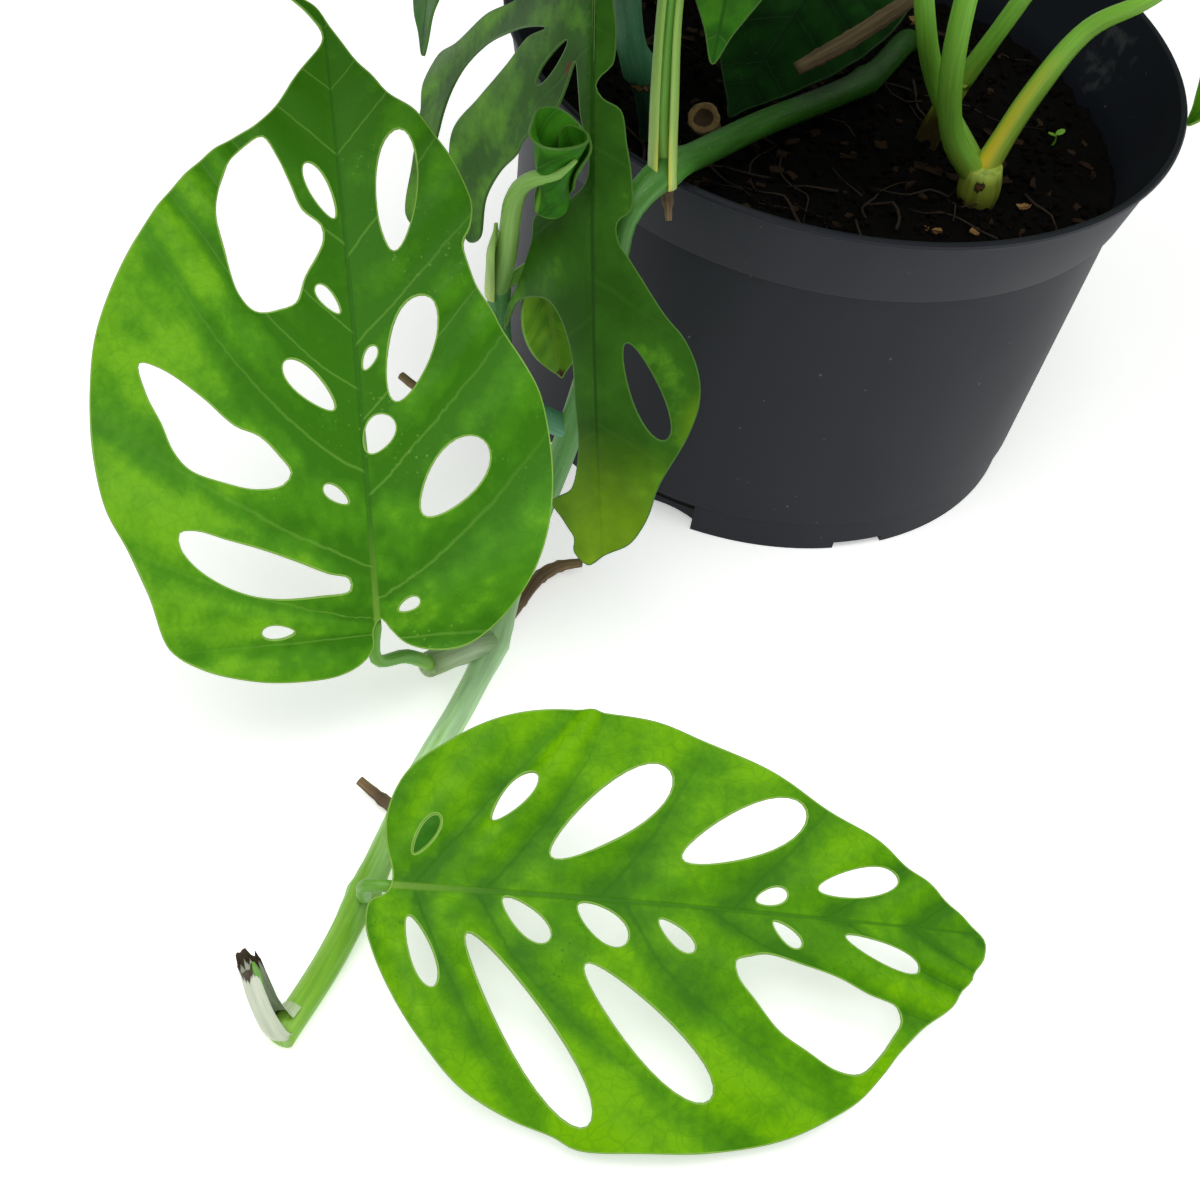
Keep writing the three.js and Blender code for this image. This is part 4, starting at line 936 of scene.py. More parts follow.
# %% Stem finish
def stem_finish(name, greens, streak=0.25, roughness=0.45, fleck="#b9d3a0", dried="#8a6f4c", stripe=None):
    """greens are (share of the way, colour) stops."""
    material, tree = new_material(name)
    stalk = add_node(tree, "ShaderNodeAttribute", attribute_name="stalk").outputs[1]
    way = add_node(tree, "ShaderNodeAttribute", attribute_name="share").outputs[2]
    # One unit is the radius round the stem and STREAK_STEP along it, so the noise draws out into streaks.
    streaks = add_node(tree, "ShaderNodeTexNoise", {"Vector": stalk, "Scale": 3.2, "Detail": 5})
    colour = stem_skin(tree, stalk, way, streaks, greens, streak, fleck)
    if stripe:
        colour = foot_stripe(tree, colour, stalk, way, stripe)
    colour = dry_scars(tree, colour, streaks, dried)
    bump = add_node(tree, "ShaderNodeBump", {"Height": streaks, "Strength": 0.25, "Distance": 0.4 * MM})
    shader = add_node(tree, "ShaderNodeBsdfPrincipled",
                      {"Base Color": colour, "Roughness": roughness, "Normal": bump})
    shader.inputs["IOR"].default_value = PLANT_IOR
    add_node(tree, "ShaderNodeOutputMaterial", {"Surface": shader})
    return material


# %% [markdown]
# Young growth is bright and full of sap, and what is old or cut turns grey, corky or brown. Roots are brown
# from the start. Each of these is the same finish with its own colours along the way.

# %% Stem colours
# The vine is painted deep green in the pot's shade, as painted shade. Where it lies on the floor it is pale
# with a bloom, and painted paler still there to lift it out of the shadow of the leaf above. Its tip is fresh
# green.
VINE_GREEN = stem_finish("vine_stem_green", [
    (0, "#264f13"), (0.3, "#33691b"), (0.45, "#4a882f"), (0.62, "#5f9850"), (0.7, "#a2cc90"),
    (0.76, "#bce4ae"), (0.84, "#a6d67c"), (0.92, "#7cb82c"), (1, "#90c446")])
# Petioles are smooth and fresh, and a little paler at their foot.
PETIOLE_GREEN = stem_finish("petiole_bright_green", [(0, "#8cc04c"), (0.3, "#69aa38"), (1, "#6aa634")], 0.2)
# Those of the crown are fresh green, painted brighter still to lift them out of the shade that the leaves
# above cast, so they are the brightest green of the plant.
CROWN_PETIOLE = stem_finish("crown_petiole_green", [
    (0, "#a0c444"), (0.1, "#8ccc46"), (0.35, "#8cd444"), (1, "#88cc42")], 0.22)
# One of them turns yellow along the groove at its foot, and is painted as bright for the same shade.
YELLOW_PETIOLE = stem_finish("crown_petiole_yellow_foot", [
    (0, "#b8bc40"), (0.12, "#a6cc48"), (0.3, "#90cc44"), (1, "#84c83e")], 0.22, stripe="#ecd42a")
# New growth has a pale bloom.
PALE_PETIOLE = stem_finish("young_petiole_pale", [(0, "#6c9c42"), (0.4, "#8cb85a"), (1, "#7dae4c")], 0.2)
SEED_LEAF = stem_finish("seedling_yellow_green", [(0, "#7cae30"), (1, "#74b02a")], 0.2)
# Wings are thin as paper, which makes them pale, and yellow along their fold.
WING_GREEN = stem_finish("petiole_wing_pale", [(0, "#b9d272"), (0.3, "#9cc060"), (1, "#7cac44")], 0.22,
                         stripe="#dccf46")
# Old upright stems have a blue-green bloom of wax, and a dry tan scar where a leaf fell. They are painted
# lighter towards their foot, to lift it out of the shade of the wings and leaves above.
GREY_GREEN = stem_finish("stem_blue_green", [
    (0, "#6aa886"), (0.3, "#4f8c66"), (0.5, "#3f7452"), (1, "#4a8440")], 0.3, dried="#dcb478")
# The crown is dull and corky, brown in the soil and yellow green above it.
CROWN_GREEN = stem_finish("crown_stem_green", [
    (0, "#4a3a20"), (0.66, "#6b5a2c"), (0.78, "#a2b03c"), (1, "#bcd252")], 0.4, 0.55, "#e0d868", "#7b5a34")
# A cut stub and a sheath that dries lose their gloss and their green. The stub is painted paler still, to
# lift it out of the shadow of the leaf above.
STUB_GREEN = stem_finish("cut_stub_grey_green", [(0, "#8ab46a"), (0.5, "#b4caa4"), (1, "#a6be88")], 0.35,
                         0.55)
PALE_SHEATH = stem_finish("dry_sheath_pale", [(0, "#b0c894"), (0.3, "#cdd8bc"), (1, "#d6dcc6")], 0.25, 0.55,
                          "#e2e6d6", "#4a3d2c")
# Roots have a matte bark with dark cracks along it.
ROOT_BROWN = stem_finish("aerial_root_brown", [(0, "#8a7356"), (0.5, "#705a42"), (1, "#927a56")], 0.6, 0.8,
                         "#a08c74")
FIBRE_BROWN = stem_finish("root_fibre_brown", [(0, "#241812"), (0.5, "#3a2a1e"), (1, "#241812")], 0.4, 0.8,
                          "#46352a")

# %% [markdown]
# The vine runs from the soil over the rim and along the surface. It has a ring scar at each node. A cut stub
# stands at the first node on the surface, and the tip ends in a dry sheath with a small bud in it.

# %% The trailing vine
def piece_of_stem(name, material, *sweeps, node=None, slot="stem_green", scars=()):
    """One piece of one or more sweeps. scars are (point, radius) in mm."""
    bm = bmesh.new()
    for points, radii, settings in sweeps:
        sweep(bm, points, radii, **settings)
    scar = bm.verts.layers.float.new("scar")
    for vert in bm.verts:
        near = [1 - (vert.co - Vector(point)).length / radius for point, radius in scars]
        vert[scar] = max([0, *near])
    bm.transform(Matrix.Scale(MM, 4))
    return new_piece(name, bm, [material], node)


def to_leaf(name, points, radius=1.9, back=9):
    """The line of a petiole that comes up from behind its blade and ends just under it."""
    leaf = LEAVES[name]
    frame_of_leaf = Matrix.Scale(1 / MM, 4) @ placing(leaf)
    seat = leaf.get("seat", 1.3)
    ends = [frame_of_leaf @ Vector(p) for p in ((-back, 0, -back * 0.8), (3.5, 0, -seat))]
    line = [*points, *[tuple(end) for end in ends]]
    stops = [(0, radius * 1.15), (0.12, radius), (0.85, 1.35), (0.95, 1.5), (1, 1.15)]
    return line, stops, dict(sides=14)


RIM_NODE = (-35.2, -82, 114)
FIRST_NODE = (-52, -129, 6)
SECOND_NODE = (-65, -205, 4.4)
VINE_ROUTE = [
    (24, 54, 60), (20, 45, 84), (8, 8, 92), (-16.4, -33.6, 99.6), (-29.8, -69, 111), (-35, -82, 115),
    (-39.6, -89.5, 112.2), (-42, -93, 108), (-42.4, -96, 99), (-42.3, -97.6, 76), (-44.5, -98.5, 50),
    (-48, -104, 28), (-51, -114, 12), (-52, -129, 6), (-55, -147, 3.8), (-60, -170, 3.6), (-63, -190, 3.6),
    (-65, -205, 3.8), (-68, -223, 3.6), (-73, -243, 4.2),
]
VINE_NODES = [((8, 8, 92), 0.8, 5), (RIM_NODE, 1.0, 5), (FIRST_NODE, 1.0, 6), (SECOND_NODE, 0.8, 5)]
piece_of_stem("vine_stem", VINE_GREEN,
              (VINE_ROUTE, [(0, 3.2), (1, 3.1)], dict(sides=20, nodes=VINE_NODES)),
              node="vine_trailing", scars=[((-54, -133, 9), 2.5)])
piece_of_stem("vine_cut_stub", STUB_GREEN,
              ([FIRST_NODE, (-57, -136, 10), (-64.5, -148, 15)], [(0, 3.4), (0.5, 3.1), (1, 3.0)],
               dict(sides=18, nodes=[((-58, -138, 11), 0.35, 2), ((-62.5, -145, 13.8), 0.4, 2)])),
              scars=[((-54, -132, 8), 2)])
piece_of_stem("vine_tip_sheath", PALE_SHEATH,
              ([(-71.5, -237, 4.6), (-73, -241, 5.4), (-76, -242, 12), (-81, -239, 23)],
               [(0, 3.1), (0.3, 3.2), (0.6, 2.8), (1, 2.4)],
               dict(sides=24, spacing=1.5, opening=0.12, facing=(0.7, -0.5, 0.6), ragged=4)),
              scars=[((-82, -238.5, 25.5), 8)])
piece_of_stem("vine_tip_bud", PETIOLE_GREEN,
              ([(-74.5, -242.5, 6), (-77, -242, 13), (-79, -240.5, 22), (-79.5, -241, 26)],
               [(0, 1.4), (0.7, 1.1), (1, 0.3)], dict(sides=12)))
piece_of_stem("petiole_trailing_upper", PETIOLE_GREEN,
              to_leaf("leaf_trailing_upper", [(-63.5, -147, 14.5), (-69, -152, 21)], 1.7, 6))
piece_of_stem("petiole_trailing_lower", PETIOLE_GREEN,
              to_leaf("leaf_trailing_lower", [(-65, -206, 4.5), (-63.8, -211.5, 13)], 1.6, 2.5))

# %% [markdown]
# A petiole of this plant holds a groove with two thin wings at its foot, which once wrapped the next leaf.
# The wings are the same ring with a part left out, and a Solidify modifier gives them their thickness.

# %% Winged petioles
WING = 0.5


def winged(name, points, radii, facing, opening):
    ring = dict(sides=22, opening=opening, facing=facing)
    thicken(piece_of_stem(name, WING_GREEN, (points, radii, ring)), WING)


piece_of_stem("petiole_left_front", PETIOLE_GREEN,
              to_leaf("leaf_left_front", [RIM_NODE, (-38, -81, 124), (-41, -77, 146), (-44, -68, 190)], 2))
winged("wings_left_front", [(-35.4, -85.8, 112.6), (-37.2, -83.2, 122), (-41, -78, 146), (-42.6, -74, 162)],
       [(0, 3.2), (0.3, 3.1), (0.75, 2.7), (1, 2.3)], (0.05, -0.8, 0.6), 0.07)

# %% [markdown]
# A side shoot has grown from the vine where it hangs in front of the pot. It carries the two newest leaves,
# one folded and one still rolled, and a thin sheath stands at its tip.

# %% The side shoot
ROLL_LINE = [(-66.5, -93, 80), (-65.6, -95, 94), (-65.4, -98, 103), (-65, -101, 112), (-63.2, -104, 118.7),
             (-59.8, -107.5, 123.8), (-56, -109, 126.5), (-53, -109.5, 131)]
piece_of_stem("side_shoot_stem", GREY_GREEN,
              ([(-44.5, -98.5, 50), (-55, -99, 55), (-62.5, -97.5, 66), (-66.5, -93, 82)],
               [(0, 2.8), (1, 2.5)], dict(nodes=[((-66.5, -93, 82), 0.4, 3)])), node="side_shoot")
piece_of_stem("petiole_rolled", PALE_PETIOLE,
              (ROLL_LINE, [(0, 2.5), (0.5, 2.2), (0.8, 1.7), (1, 0.5)], dict(sides=16)))
winged("sheath_side_shoot", [(-66.5, -93.5, 81), (-67.5, -97, 94), (-68, -101, 105)],
       [(0, 2.9), (0.5, 2.3), (1, 0.5)], (0.8, -0.3, 0.2), 0.35)
piece_of_stem("petiole_folded", PETIOLE_GREEN,
              to_leaf("leaf_young_folded", [(-66, -92.5, 82)], 1.4, 3))

# %% [markdown]
# ## Crown and upright stems
# Right of the middle a short crown carries three stout petioles. It is one sweep, and its petioles are
# further sweeps that start inside it, so no joint has to be fitted. A thinner stem stands behind it.

# %% Crown
piece_of_stem("crown_stem", CROWN_GREEN,
              ([(41, -17, 60), (40, -21, 82), (39, -23, 95)], [(0, 4.6), (0.62, 4.2), (0.8, 5.2), (1, 4.4)],
               dict(sides=20, nodes=[((40.2, -20.5, 84), 0.7, 2.4), ((39.4, -22.2, 91), 0.6, 2.2)])),
              node="stem_right_cluster",
              scars=[((36, -25, 85), 2.4), ((43, -26, 88), 1.6), ((39, -27, 92), 1.6)])
CROWN_PETIOLES = {
    "leaf_front_top": ([(39, -22, 90), (29, -23.5, 102), (22, -27.5, 138), (26, -32, 200)], 2.9),
    "leaf_left_back": ([(38, -19, 91), (24, -12, 106), (13, -18, 134), (-4, 4, 195)], 2.6),
    "leaf_right_front": ([(39, -22, 92), (46, -12, 110), (55, -3, 125), (67, -2, 136)], 2.8),
}
for leaf_name, (route, radius) in CROWN_PETIOLES.items():
    finish = YELLOW_PETIOLE if leaf_name == "leaf_right_front" else CROWN_PETIOLE
    piece_of_stem(f"petiole_{leaf_name[5:]}", finish, to_leaf(leaf_name, route, radius))
piece_of_stem("crown_back_stem", CROWN_GREEN,
              ([(26, 4, 60), (27, 2, 84), (30, -2, 105)], [(0, 3.4), (1, 2.9)], dict(sides=16)),
              node="petiole_right")
piece_of_stem("petiole_right_top", CROWN_PETIOLE,
              to_leaf("leaf_right_top", [(30, -2, 103), (37, -3, 127), (56, 8, 180)], 2.2))

# %% [markdown]
# The left stem is older. It leans out over the rim, swells at its nodes, and has the tan scar of a leaf that
# fell. Its four petioles leave it at three heights.

# %% Left stem
LEFT_ROUTE = [(-41, -19, 60), (-41, -25, 84), (-44, -38, 105), (-50, -54, 128), (-54, -57, 152),
              (-60, -47, 190), (-69, -34, 224)]
piece_of_stem("left_stem", GREY_GREEN,
              (LEFT_ROUTE, [(0, 3.7), (1, 2.9)],
               dict(sides=18, nodes=[((-47, -46, 116), 0.9, 4), ((-54, -57, 152), 0.9, 4)])),
              node="stem_left", scars=[((-46.5, -45.5, 111.5), 5)])
for leaf_name, route, radius, back in (
    ("leaf_hanging", [(-54, -57, 150), (-58, -52, 166)], 2.2, 7),
    ("leaf_left_hanging", [(-60, -46, 188), (-72, -40, 204)], 1.9, 9),
    ("leaf_left_top", [(-69, -34, 221), (-66, -18, 242)], 2, 9),
    ("leaf_centre_hanging", [(-69, -33, 220), (-60, -4, 223), (-44, 9, 226)], 2, 9),
):
    piece_of_stem(f"petiole_{leaf_name[5:]}", PETIOLE_GREEN, to_leaf(leaf_name, route, radius, back))

# %% [markdown]
# The back stem stands upright behind the leaves and carries four of its own. Next to it the young leaf that
# is painted dark for its shade has a thin stalk that comes straight from the soil.

# %% Back stem
piece_of_stem("back_stem", GREY_GREEN,
              ([(12, 62, 60), (11, 62, 84), (8, 60, 140), (2, 50, 200), (-2, 38, 240)], [(0, 3.6), (1, 2.8)],
               dict(sides=16, nodes=[((8, 60, 140), 0.8, 4), ((4, 54, 180), 0.8, 4)])), node="stem_back")
for leaf_name, route, radius in (
    ("leaf_right_low", [(8, 60, 140), (48, 70, 182), (106, 66, 184)], 2.2),
    ("leaf_back", [(4, 54, 180), (5, 64, 214)], 1.9),
    ("leaf_right_back", [(4, 53, 182), (22, 60, 214)], 1.9),
    ("leaf_top", [(-1, 40, 236), (-6, 30, 262)], 1.9),
):
    piece_of_stem(f"petiole_{leaf_name[5:]}", PETIOLE_GREEN, to_leaf(leaf_name, route, radius))
piece_of_stem("young_stalk", PETIOLE_GREEN,
              ([(0, 34, 60), (0, 34, 84), (1, 34, 104)], [(0, 1.9), (1, 1.5)], dict(sides=12)),
              to_leaf("leaf_young_solid", [(1, 34, 103)], 1.4, 5), node="stalk_young_leaf")

# %% [markdown]
# ## Aerial roots and the stump
# An aerial root is a brown cord with a wrinkled bark, thicker in places and never straight.

# %% Roots
ROOTS = {
    "aerial_root_long": ([(-52, -126, 6), (-48, -113, 5), (-45, -102, 3.5), (-41, -97, 3.4), (-36, -94, 3.2)],
                         [(0, 1.8), (0.4, 1.4), (0.7, 1.7), (1, 1.2)]),
    "aerial_root_short": ([(-62, -182, 3.6), (-67, -179, 3), (-73, -176, 4)], [(0, 1.6), (1, 1.1)]),
    "aerial_root_rim": ([(-35.2, -81.5, 112.3), (-33.5, -84.4, 108), (-32.5, -86.5, 105)],
                        [(0, 1.8), (1, 0.7)]),
    "aerial_root_hidden": ([(-62, -98, 62), (-72, -95, 52), (-82, -91, 46), (-87, -88, 46)],
                           [(0, 1.5), (1, 1)]),
    "aerial_root_thick": (
        [(-11, -22.6, 109.4), (-6.3, -20, 112.4), (-0.2, -17, 116.8), (6, -13, 121.5), (12.6, -8, 127.5),
         (15, 18, 133), (13, 44, 135), (9, 60, 131)], [(0, 1.7), (0.1, 2.1), (0.3, 2), (0.6, 2.2), (1, 2.2)]),
}
for root_name, (route, stops) in ROOTS.items():
    wrinkles = [(point, 0.22, 2.2) for point in route[1:-1]]
    ring = dict(sides=12, spacing=1.4, nodes=wrinkles)
    piece_of_stem(f"{root_name}_bark", ROOT_BROWN, (route, stops, ring), node=root_name, slot="root_bark")

# %% [markdown]
# The stump of a cut stem is a short sweep whose top is inset three times: a collar of bark, a tan ring of
# dried wood and a dark sunken pith. A little noise makes the cut look torn and not machined.

# %% Cut stump
STUMP_WOOD = plain_finish("cut_wood_tan", "#9c7a48", "#5f4528", 0.75, 0.9)
STUMP_PITH = plain_finish("stump_pith_dark", "#4a3018", "#2a1a0c", 0.85, 0.9)
STUMP_RINGS = [(0.35, 0.1, 0), (1.2, -0.2, 1), (0.7, -0.5, 2)]  # width, height and material
TORN_FROM = 93


def make_stump():
    bm = bmesh.new()
    top = sweep(bm, [(-27, -14, 60), (-28, -22, 84), (-30, -32, 97)], [(0, 3.6), (0.9, 3.7), (1, 3.9)],
                sides=20)
    bm.verts.layers.float.new("scar")
    cap = [face for face in top[0].link_faces if len(face.verts) > 4]
    for thickness, depth, finish in STUMP_RINGS:
        rim = bmesh.ops.inset_region(bm, faces=cap, thickness=thickness, depth=depth)
        for face in [*rim["faces"], *cap]:
            face.material_index = finish
    for vert in bm.verts:
        if vert.co.z > TORN_FROM:
            vert.co += 0.35 * noise.noise_vector(vert.co * 0.9)
    bm.transform(Matrix.Scale(MM, 4))
    new_piece("stump_bark", bm, [ROOT_BROWN, STUMP_WOOD, STUMP_PITH], "stump_cut_stem")


make_stump()

# %% [markdown]
# ## The rolled leaf
# A new leaf unrolls from a tight tube. The same flat blade is wound round its midrib on a growing cone, and
# its lip is turned out.

# %% Rolled leaf
ROLLED = dict(at=(-56.5, -103.5, 109), heading=-100, rise=84, roll=-50, length=29,
              veins=[[(3, 1.1, 0), (10, 1.1, 0), (17, 1.1, 0)]] * 2)
ROLLED_OUTLINE = [(5, -9), (5, 0), (5, 9), (9, 15), (17, 20), (24, 20), (27, 12), (29, 0), (26, -10),
                  (22, -18), (14, -18), (7, -13)]
ROLL_TURNS = 1.3
ROLL_HALF_WIDTH = 19
CONE = (3, 3.3)  # its radius at the foot, and what it gains to the tip
LIP_FROM = 19


def make_rolled_leaf():
    bm = flat_blade(smooth_line(ROLLED_OUTLINE, 0.8, closed=True), [], 1.2)
    lay_maps(bm, ROLLED)
    for vert in bm.verts:
        x, y, _ = vert.co
        angle = y / ROLL_HALF_WIDTH * math.pi * ROLL_TURNS
        inwards = 1 - 0.4 * (y + 20) / 40
        radius = (CONE[0] + CONE[1] * max(0, x) / ROLLED["length"]) * inwards
        curl = max(0, (x - LIP_FROM) / 10) ** 2
        lip = curl * (2.2 + 0.7 * math.sin(3 * angle)) + 0.5 * math.sin(x * 0.42 + 2 * angle)
        reach = radius + lip
        vert.co = Vector((x - 1.6 * curl, reach * math.sin(angle), -reach * math.cos(angle)))
    bm.transform(placing(ROLLED))
    finishes = [LEAF_FINISHES["rolled"], LEAF_FINISHES["rolled"], THIN_MARGIN]
    piece = new_piece("leaf_rolled_blade", bm, finishes, "leaf_rolled")
    thicken(piece, BLADE, offset=0, inner=1, rim=2)


make_rolled_leaf()

# %% [markdown]
# ## Ribs under the blades
# The midrib and the side veins stand out below the blade like the ribs of a boat. They are thin rods that
# follow the bent surface, and they stop where a hole or the margin cuts them.

# %% Ribs
def inside(x, y, loop):
    """Whether a point lies inside a loop: a line from it crosses the loop an odd number of times."""
    hit = False
    for a, b in zip(loop, [loop[-1], *loop[:-1]]):
        if (a.y > y) != (b.y > y) and x < (b.x - a.x) * (y - a.y) / (b.y - a.y) + a.x:
            hit = not hit
    return hit


RIB_STEP = 3
LONGEST_RIB = 60
MIDRIB = (1.0, 0.3)  # radius at the petiole and at the tip
SIDE_RIB = (0.45, 0.12)


def rib_lines(leaf):
    """The midrib and the side ribs on the flat leaf, each with its radius at both ends."""
    outline, loops = edge_lines(leaf, 3, 2)
    spine = [(x, 0) for x in range(3, int(leaf["length"]) - 3, 4) if inside(x + 2, 0.01, outline)]
    lines = [(spine, leaf.get("rib", MIDRIB[0]), MIDRIB[1])]
    for half, sign in ((0, 1), (1, -1)):
        for root, slope, curve in leaf["veins"][half]:
            line = []
            for out in range(0, LONGEST_RIB, RIB_STEP):
                x = root + slope * out + curve * out * out
                clear = [inside(x + dx, sign * (out + 0.5), outline) for dx in (-1.5, 1.5)]
                if not all(clear) or any(inside(x, sign * out, loop) for loop in loops):
                    break
                line.append((x, sign * out))
            if len(line) > 2 and root > 1:
                lines.append((line, *SIDE_RIB))
    return lines


def make_ribs(name, leaf):
    bm = bmesh.new()
    for line, start, end in rib_lines(leaf):
        points = []
        for i, (x, y) in enumerate(line):
            below = start + (end - start) * i / (len(line) - 1) + 0.1
            middle = bent(leaf, x, y)
            aside = bent(leaf, x, y + 0.4) - bent(leaf, x, y - 0.4)
            forward = bent(leaf, x + 0.4, y) - bent(leaf, x - 0.4, y)
            points.append(tuple(middle - forward.cross(aside).normalized() * below))
        sweep(bm, points, [(0, start), (1, end)], sides=8, spacing=4)
    bm.verts.layers.float.new("scar")
    bm.transform(placing(leaf))
    new_piece(f"{name}_ribs", bm, [RIB])


for leaf_name, leaf_row in LEAVES.items():
    if leaf_name != "leaf_young_folded":
        make_ribs(leaf_name, leaf_row)

# %% [markdown]
# ## The pot
# A nursery pot is injection-moulded polypropylene: thin walls, a flared collar that stiffens the lip, and a
# foot ring with notches that let water out. A profile spun round the axis gives all of it but the notches
# and drain holes, which a Boolean modifier cuts.

# %% Lime and dust
DEPOSIT_PLACE = Vector((70, 38, 97)) * MM
DEPOSIT_STRENGTH = 0.12


def lime_marks(tree, place):
    """Lime that dried on the inner wall above the soil, where the surface faces the pot's axis."""
    surface = add_node(tree, "ShaderNodeNewGeometry")
    outward = add_node(tree, "ShaderNodeVectorMath", {0: surface.outputs["Normal"], 1: place},
                       operation="DOT_PRODUCT")
    inner = add_node(tree, "ShaderNodeMapRange",
                     {"Value": outward.outputs["Value"], "From Min": -20 * MM, "From Max": 0,
                      "To Min": DEPOSIT_STRENGTH, "To Max": 0})
    spot = add_node(tree, "ShaderNodeVectorMath", {0: place, 1: DEPOSIT_PLACE}, operation="DISTANCE")
    near = add_node(tree, "ShaderNodeMapRange",
                    {"Value": spot.outputs["Value"], "From Min": 4 * MM, "From Max": 20 * MM,
                     "To Min": 0.35, "To Max": 0})
    flakes = add_node(tree, "ShaderNodeTexNoise", {"Vector": place, "Scale": 210, "Detail": 6})
    added = add_node(tree, "ShaderNodeMath", {0: flakes, 1: near}, operation="ADD")
    lime = add_node(tree, "ShaderNodeMapRange", {"Value": added, "From Min": 0.8, "From Max": 0.95})
    return add_node(tree, "ShaderNodeMath", {0: lime, 1: inner}, operation="MULTIPLY")


def dust_marks(tree, place):
    """Specks of dust, 0.3 to 0.9 mm across and 5 mm apart, that lie in drifts."""
    specks = add_node(tree, "ShaderNodeTexVoronoi", {"Vector": place, "Scale": 200}, feature="F1")
    speck = add_node(tree, "ShaderNodeMapRange",
                     {"Value": specks, "From Min": 0.03, "From Max": 0.09, "To Min": 0.22, "To Max": 0})
    drift = add_node(tree, "ShaderNodeTexNoise", {"Vector": place, "Scale": 45, "Detail": 2})
    some = add_node(tree, "ShaderNodeMapRange", {"Value": drift, "From Min": 0.5, "From Max": 0.62})
    return add_node(tree, "ShaderNodeMath", {0: speck, 1: some}, operation="MULTIPLY")


# %% [markdown]
# The plastic is dyed through, so one dark colour would nearly do. What makes it read as a used pot is on top
# of it: the gloss is clouded by handling, and lime and dust lie on it.

# %% Pot finish
POT_IOR = 1.49
POT_GLOSS = 0.24  # the moulded grain breaks up the rest


def pot_finish():
    material, tree = new_material("moulded_polypropylene_black")
    place = add_node(tree, "ShaderNodeTexCoord").outputs["Object"]
    # Handling leaves clouds of 30 mm in the gloss, and the mould leaves a grain of 0.7 mm.
    haze = add_node(tree, "ShaderNodeTexNoise", {"Vector": place, "Scale": 30, "Detail": 5})
    grain = add_node(tree, "ShaderNodeTexNoise", {"Vector": place, "Scale": 1400, "Detail": 2})
    colour = add_node(tree, "ShaderNodeMix", {0: haze, 6: linear("#12151d"), 7: linear("#191c26")},
                      data_type="RGBA").outputs[2]
    for share, mark in ((lime_marks(tree, place), "#8f918f"), (dust_marks(tree, place), "#a8a59c")):
        colour = add_node(tree, "ShaderNodeMix", {0: share, 6: colour, 7: linear(mark)},
                          data_type="RGBA").outputs[2]
    rough = add_node(tree, "ShaderNodeMapRange", {"Value": haze, "To Min": 0.48, "To Max": 0.62})
    bump = add_node(tree, "ShaderNodeBump", {"Height": grain, "Strength": 0.12, "Distance": 0.1 * MM})
    shader = add_node(tree, "ShaderNodeBsdfPrincipled",
                      {"Base Color": colour, "Roughness": rough, "Normal": bump})
    shader.inputs["IOR"].default_value = POT_IOR
    shader.inputs["Specular IOR Level"].default_value = POT_GLOSS
    add_node(tree, "ShaderNodeOutputMaterial", {"Surface": shader})
    return material


# %% [markdown]
# Anything round is drawn once, as radius and height, and turned about its axis. The soil comes from the same
# helper as the pot.

# %% Spinning a profile
def spun(profile, steps):
    """Spins (radius, height) points in mm round the upright axis, into a closed body."""
    bm = bmesh.new()
    corners = [bm.verts.new((r, 0, z)) for r, z in profile]
    for a, b in zip(corners, corners[1:]):
        bm.edges.new((a, b))
    bmesh.ops.spin(bm, geom=bm.verts[:] + bm.edges[:], cent=(0, 0, 0), axis=(0, 0, 1), steps=steps,
                   angle=2 * math.pi, use_merge=True)
    bmesh.ops.remove_doubles(bm, verts=bm.verts[:], dist=WELD)
    bmesh.ops.recalc_face_normals(bm, faces=bm.faces[:])
    return bm


# %% [markdown]
# The foot has three tall notches and three low ones, and the floor has six drain holes. Modelling them into
# the wall by hand is fiddly. Taking boxes and cylinders away from it is exact, and leaves a closed body.

# %% Cutting
def cut_by(bm, cutter):
    """Cuts the closed mesh of one bmesh out of another, by a Boolean modifier that is applied."""
    made = []
    for name, part in (("whole", bm), ("cutter", cutter)):
        mesh = bpy.data.meshes.new(name)
        part.to_mesh(mesh)
        part.free()
        made.append(bpy.data.objects.new(name, mesh))
        bpy.context.scene.collection.objects.link(made[-1])
    cut = made[0].modifiers.new("cut", "BOOLEAN")
    cut.object = made[1]
    cut.solver = "EXACT"
    bpy.context.view_layer.update()
    shaped = made[0].evaluated_get(bpy.context.evaluated_depsgraph_get())
    result = bmesh.new()
    result.from_mesh(shaped.to_mesh())
    shaped.to_mesh_clear()
    for thing in made:
        bpy.data.meshes.remove(thing.data)
    return result


# %% [markdown]
# The profile starts in the middle of the underside, goes up the outer wall, over the lip and down the inner
# wall, and ends in the middle of the floor, so the body is closed. Its edges stay crisp where it turns.

# %% Pot
POT_STEPS = 144
FOOT_RING = 71
NOTCHES = [(16, 8.5, 255), (14, 2, 298)]  # width, height and compass of the first of three
DRAIN_HOLES = 6
DRAIN_CIRCLE = 48
DRAIN_RADIUS = 4
CREASE = math.radians(32)  # edges that turn more than this stay crisp
POT_PROFILE = [
    (0, 0), (26, 0), (28, 4), (67.5, 4), (68.8, 0), (71, 0), (71.4, 9.2), (72.2, 10), (77.4, 88.6), (78, 89),
    (79, 89.2), (79.3, 89.8), (83.7, 107.6), (84.6, 108.1), (85, 108.6), (85, 109.5), (84.6, 110),
    (83.9, 110), (83.4, 109.6), (77.4, 90), (75.8, 87.5), (70.2, 5.6), (0, 5.6),
]


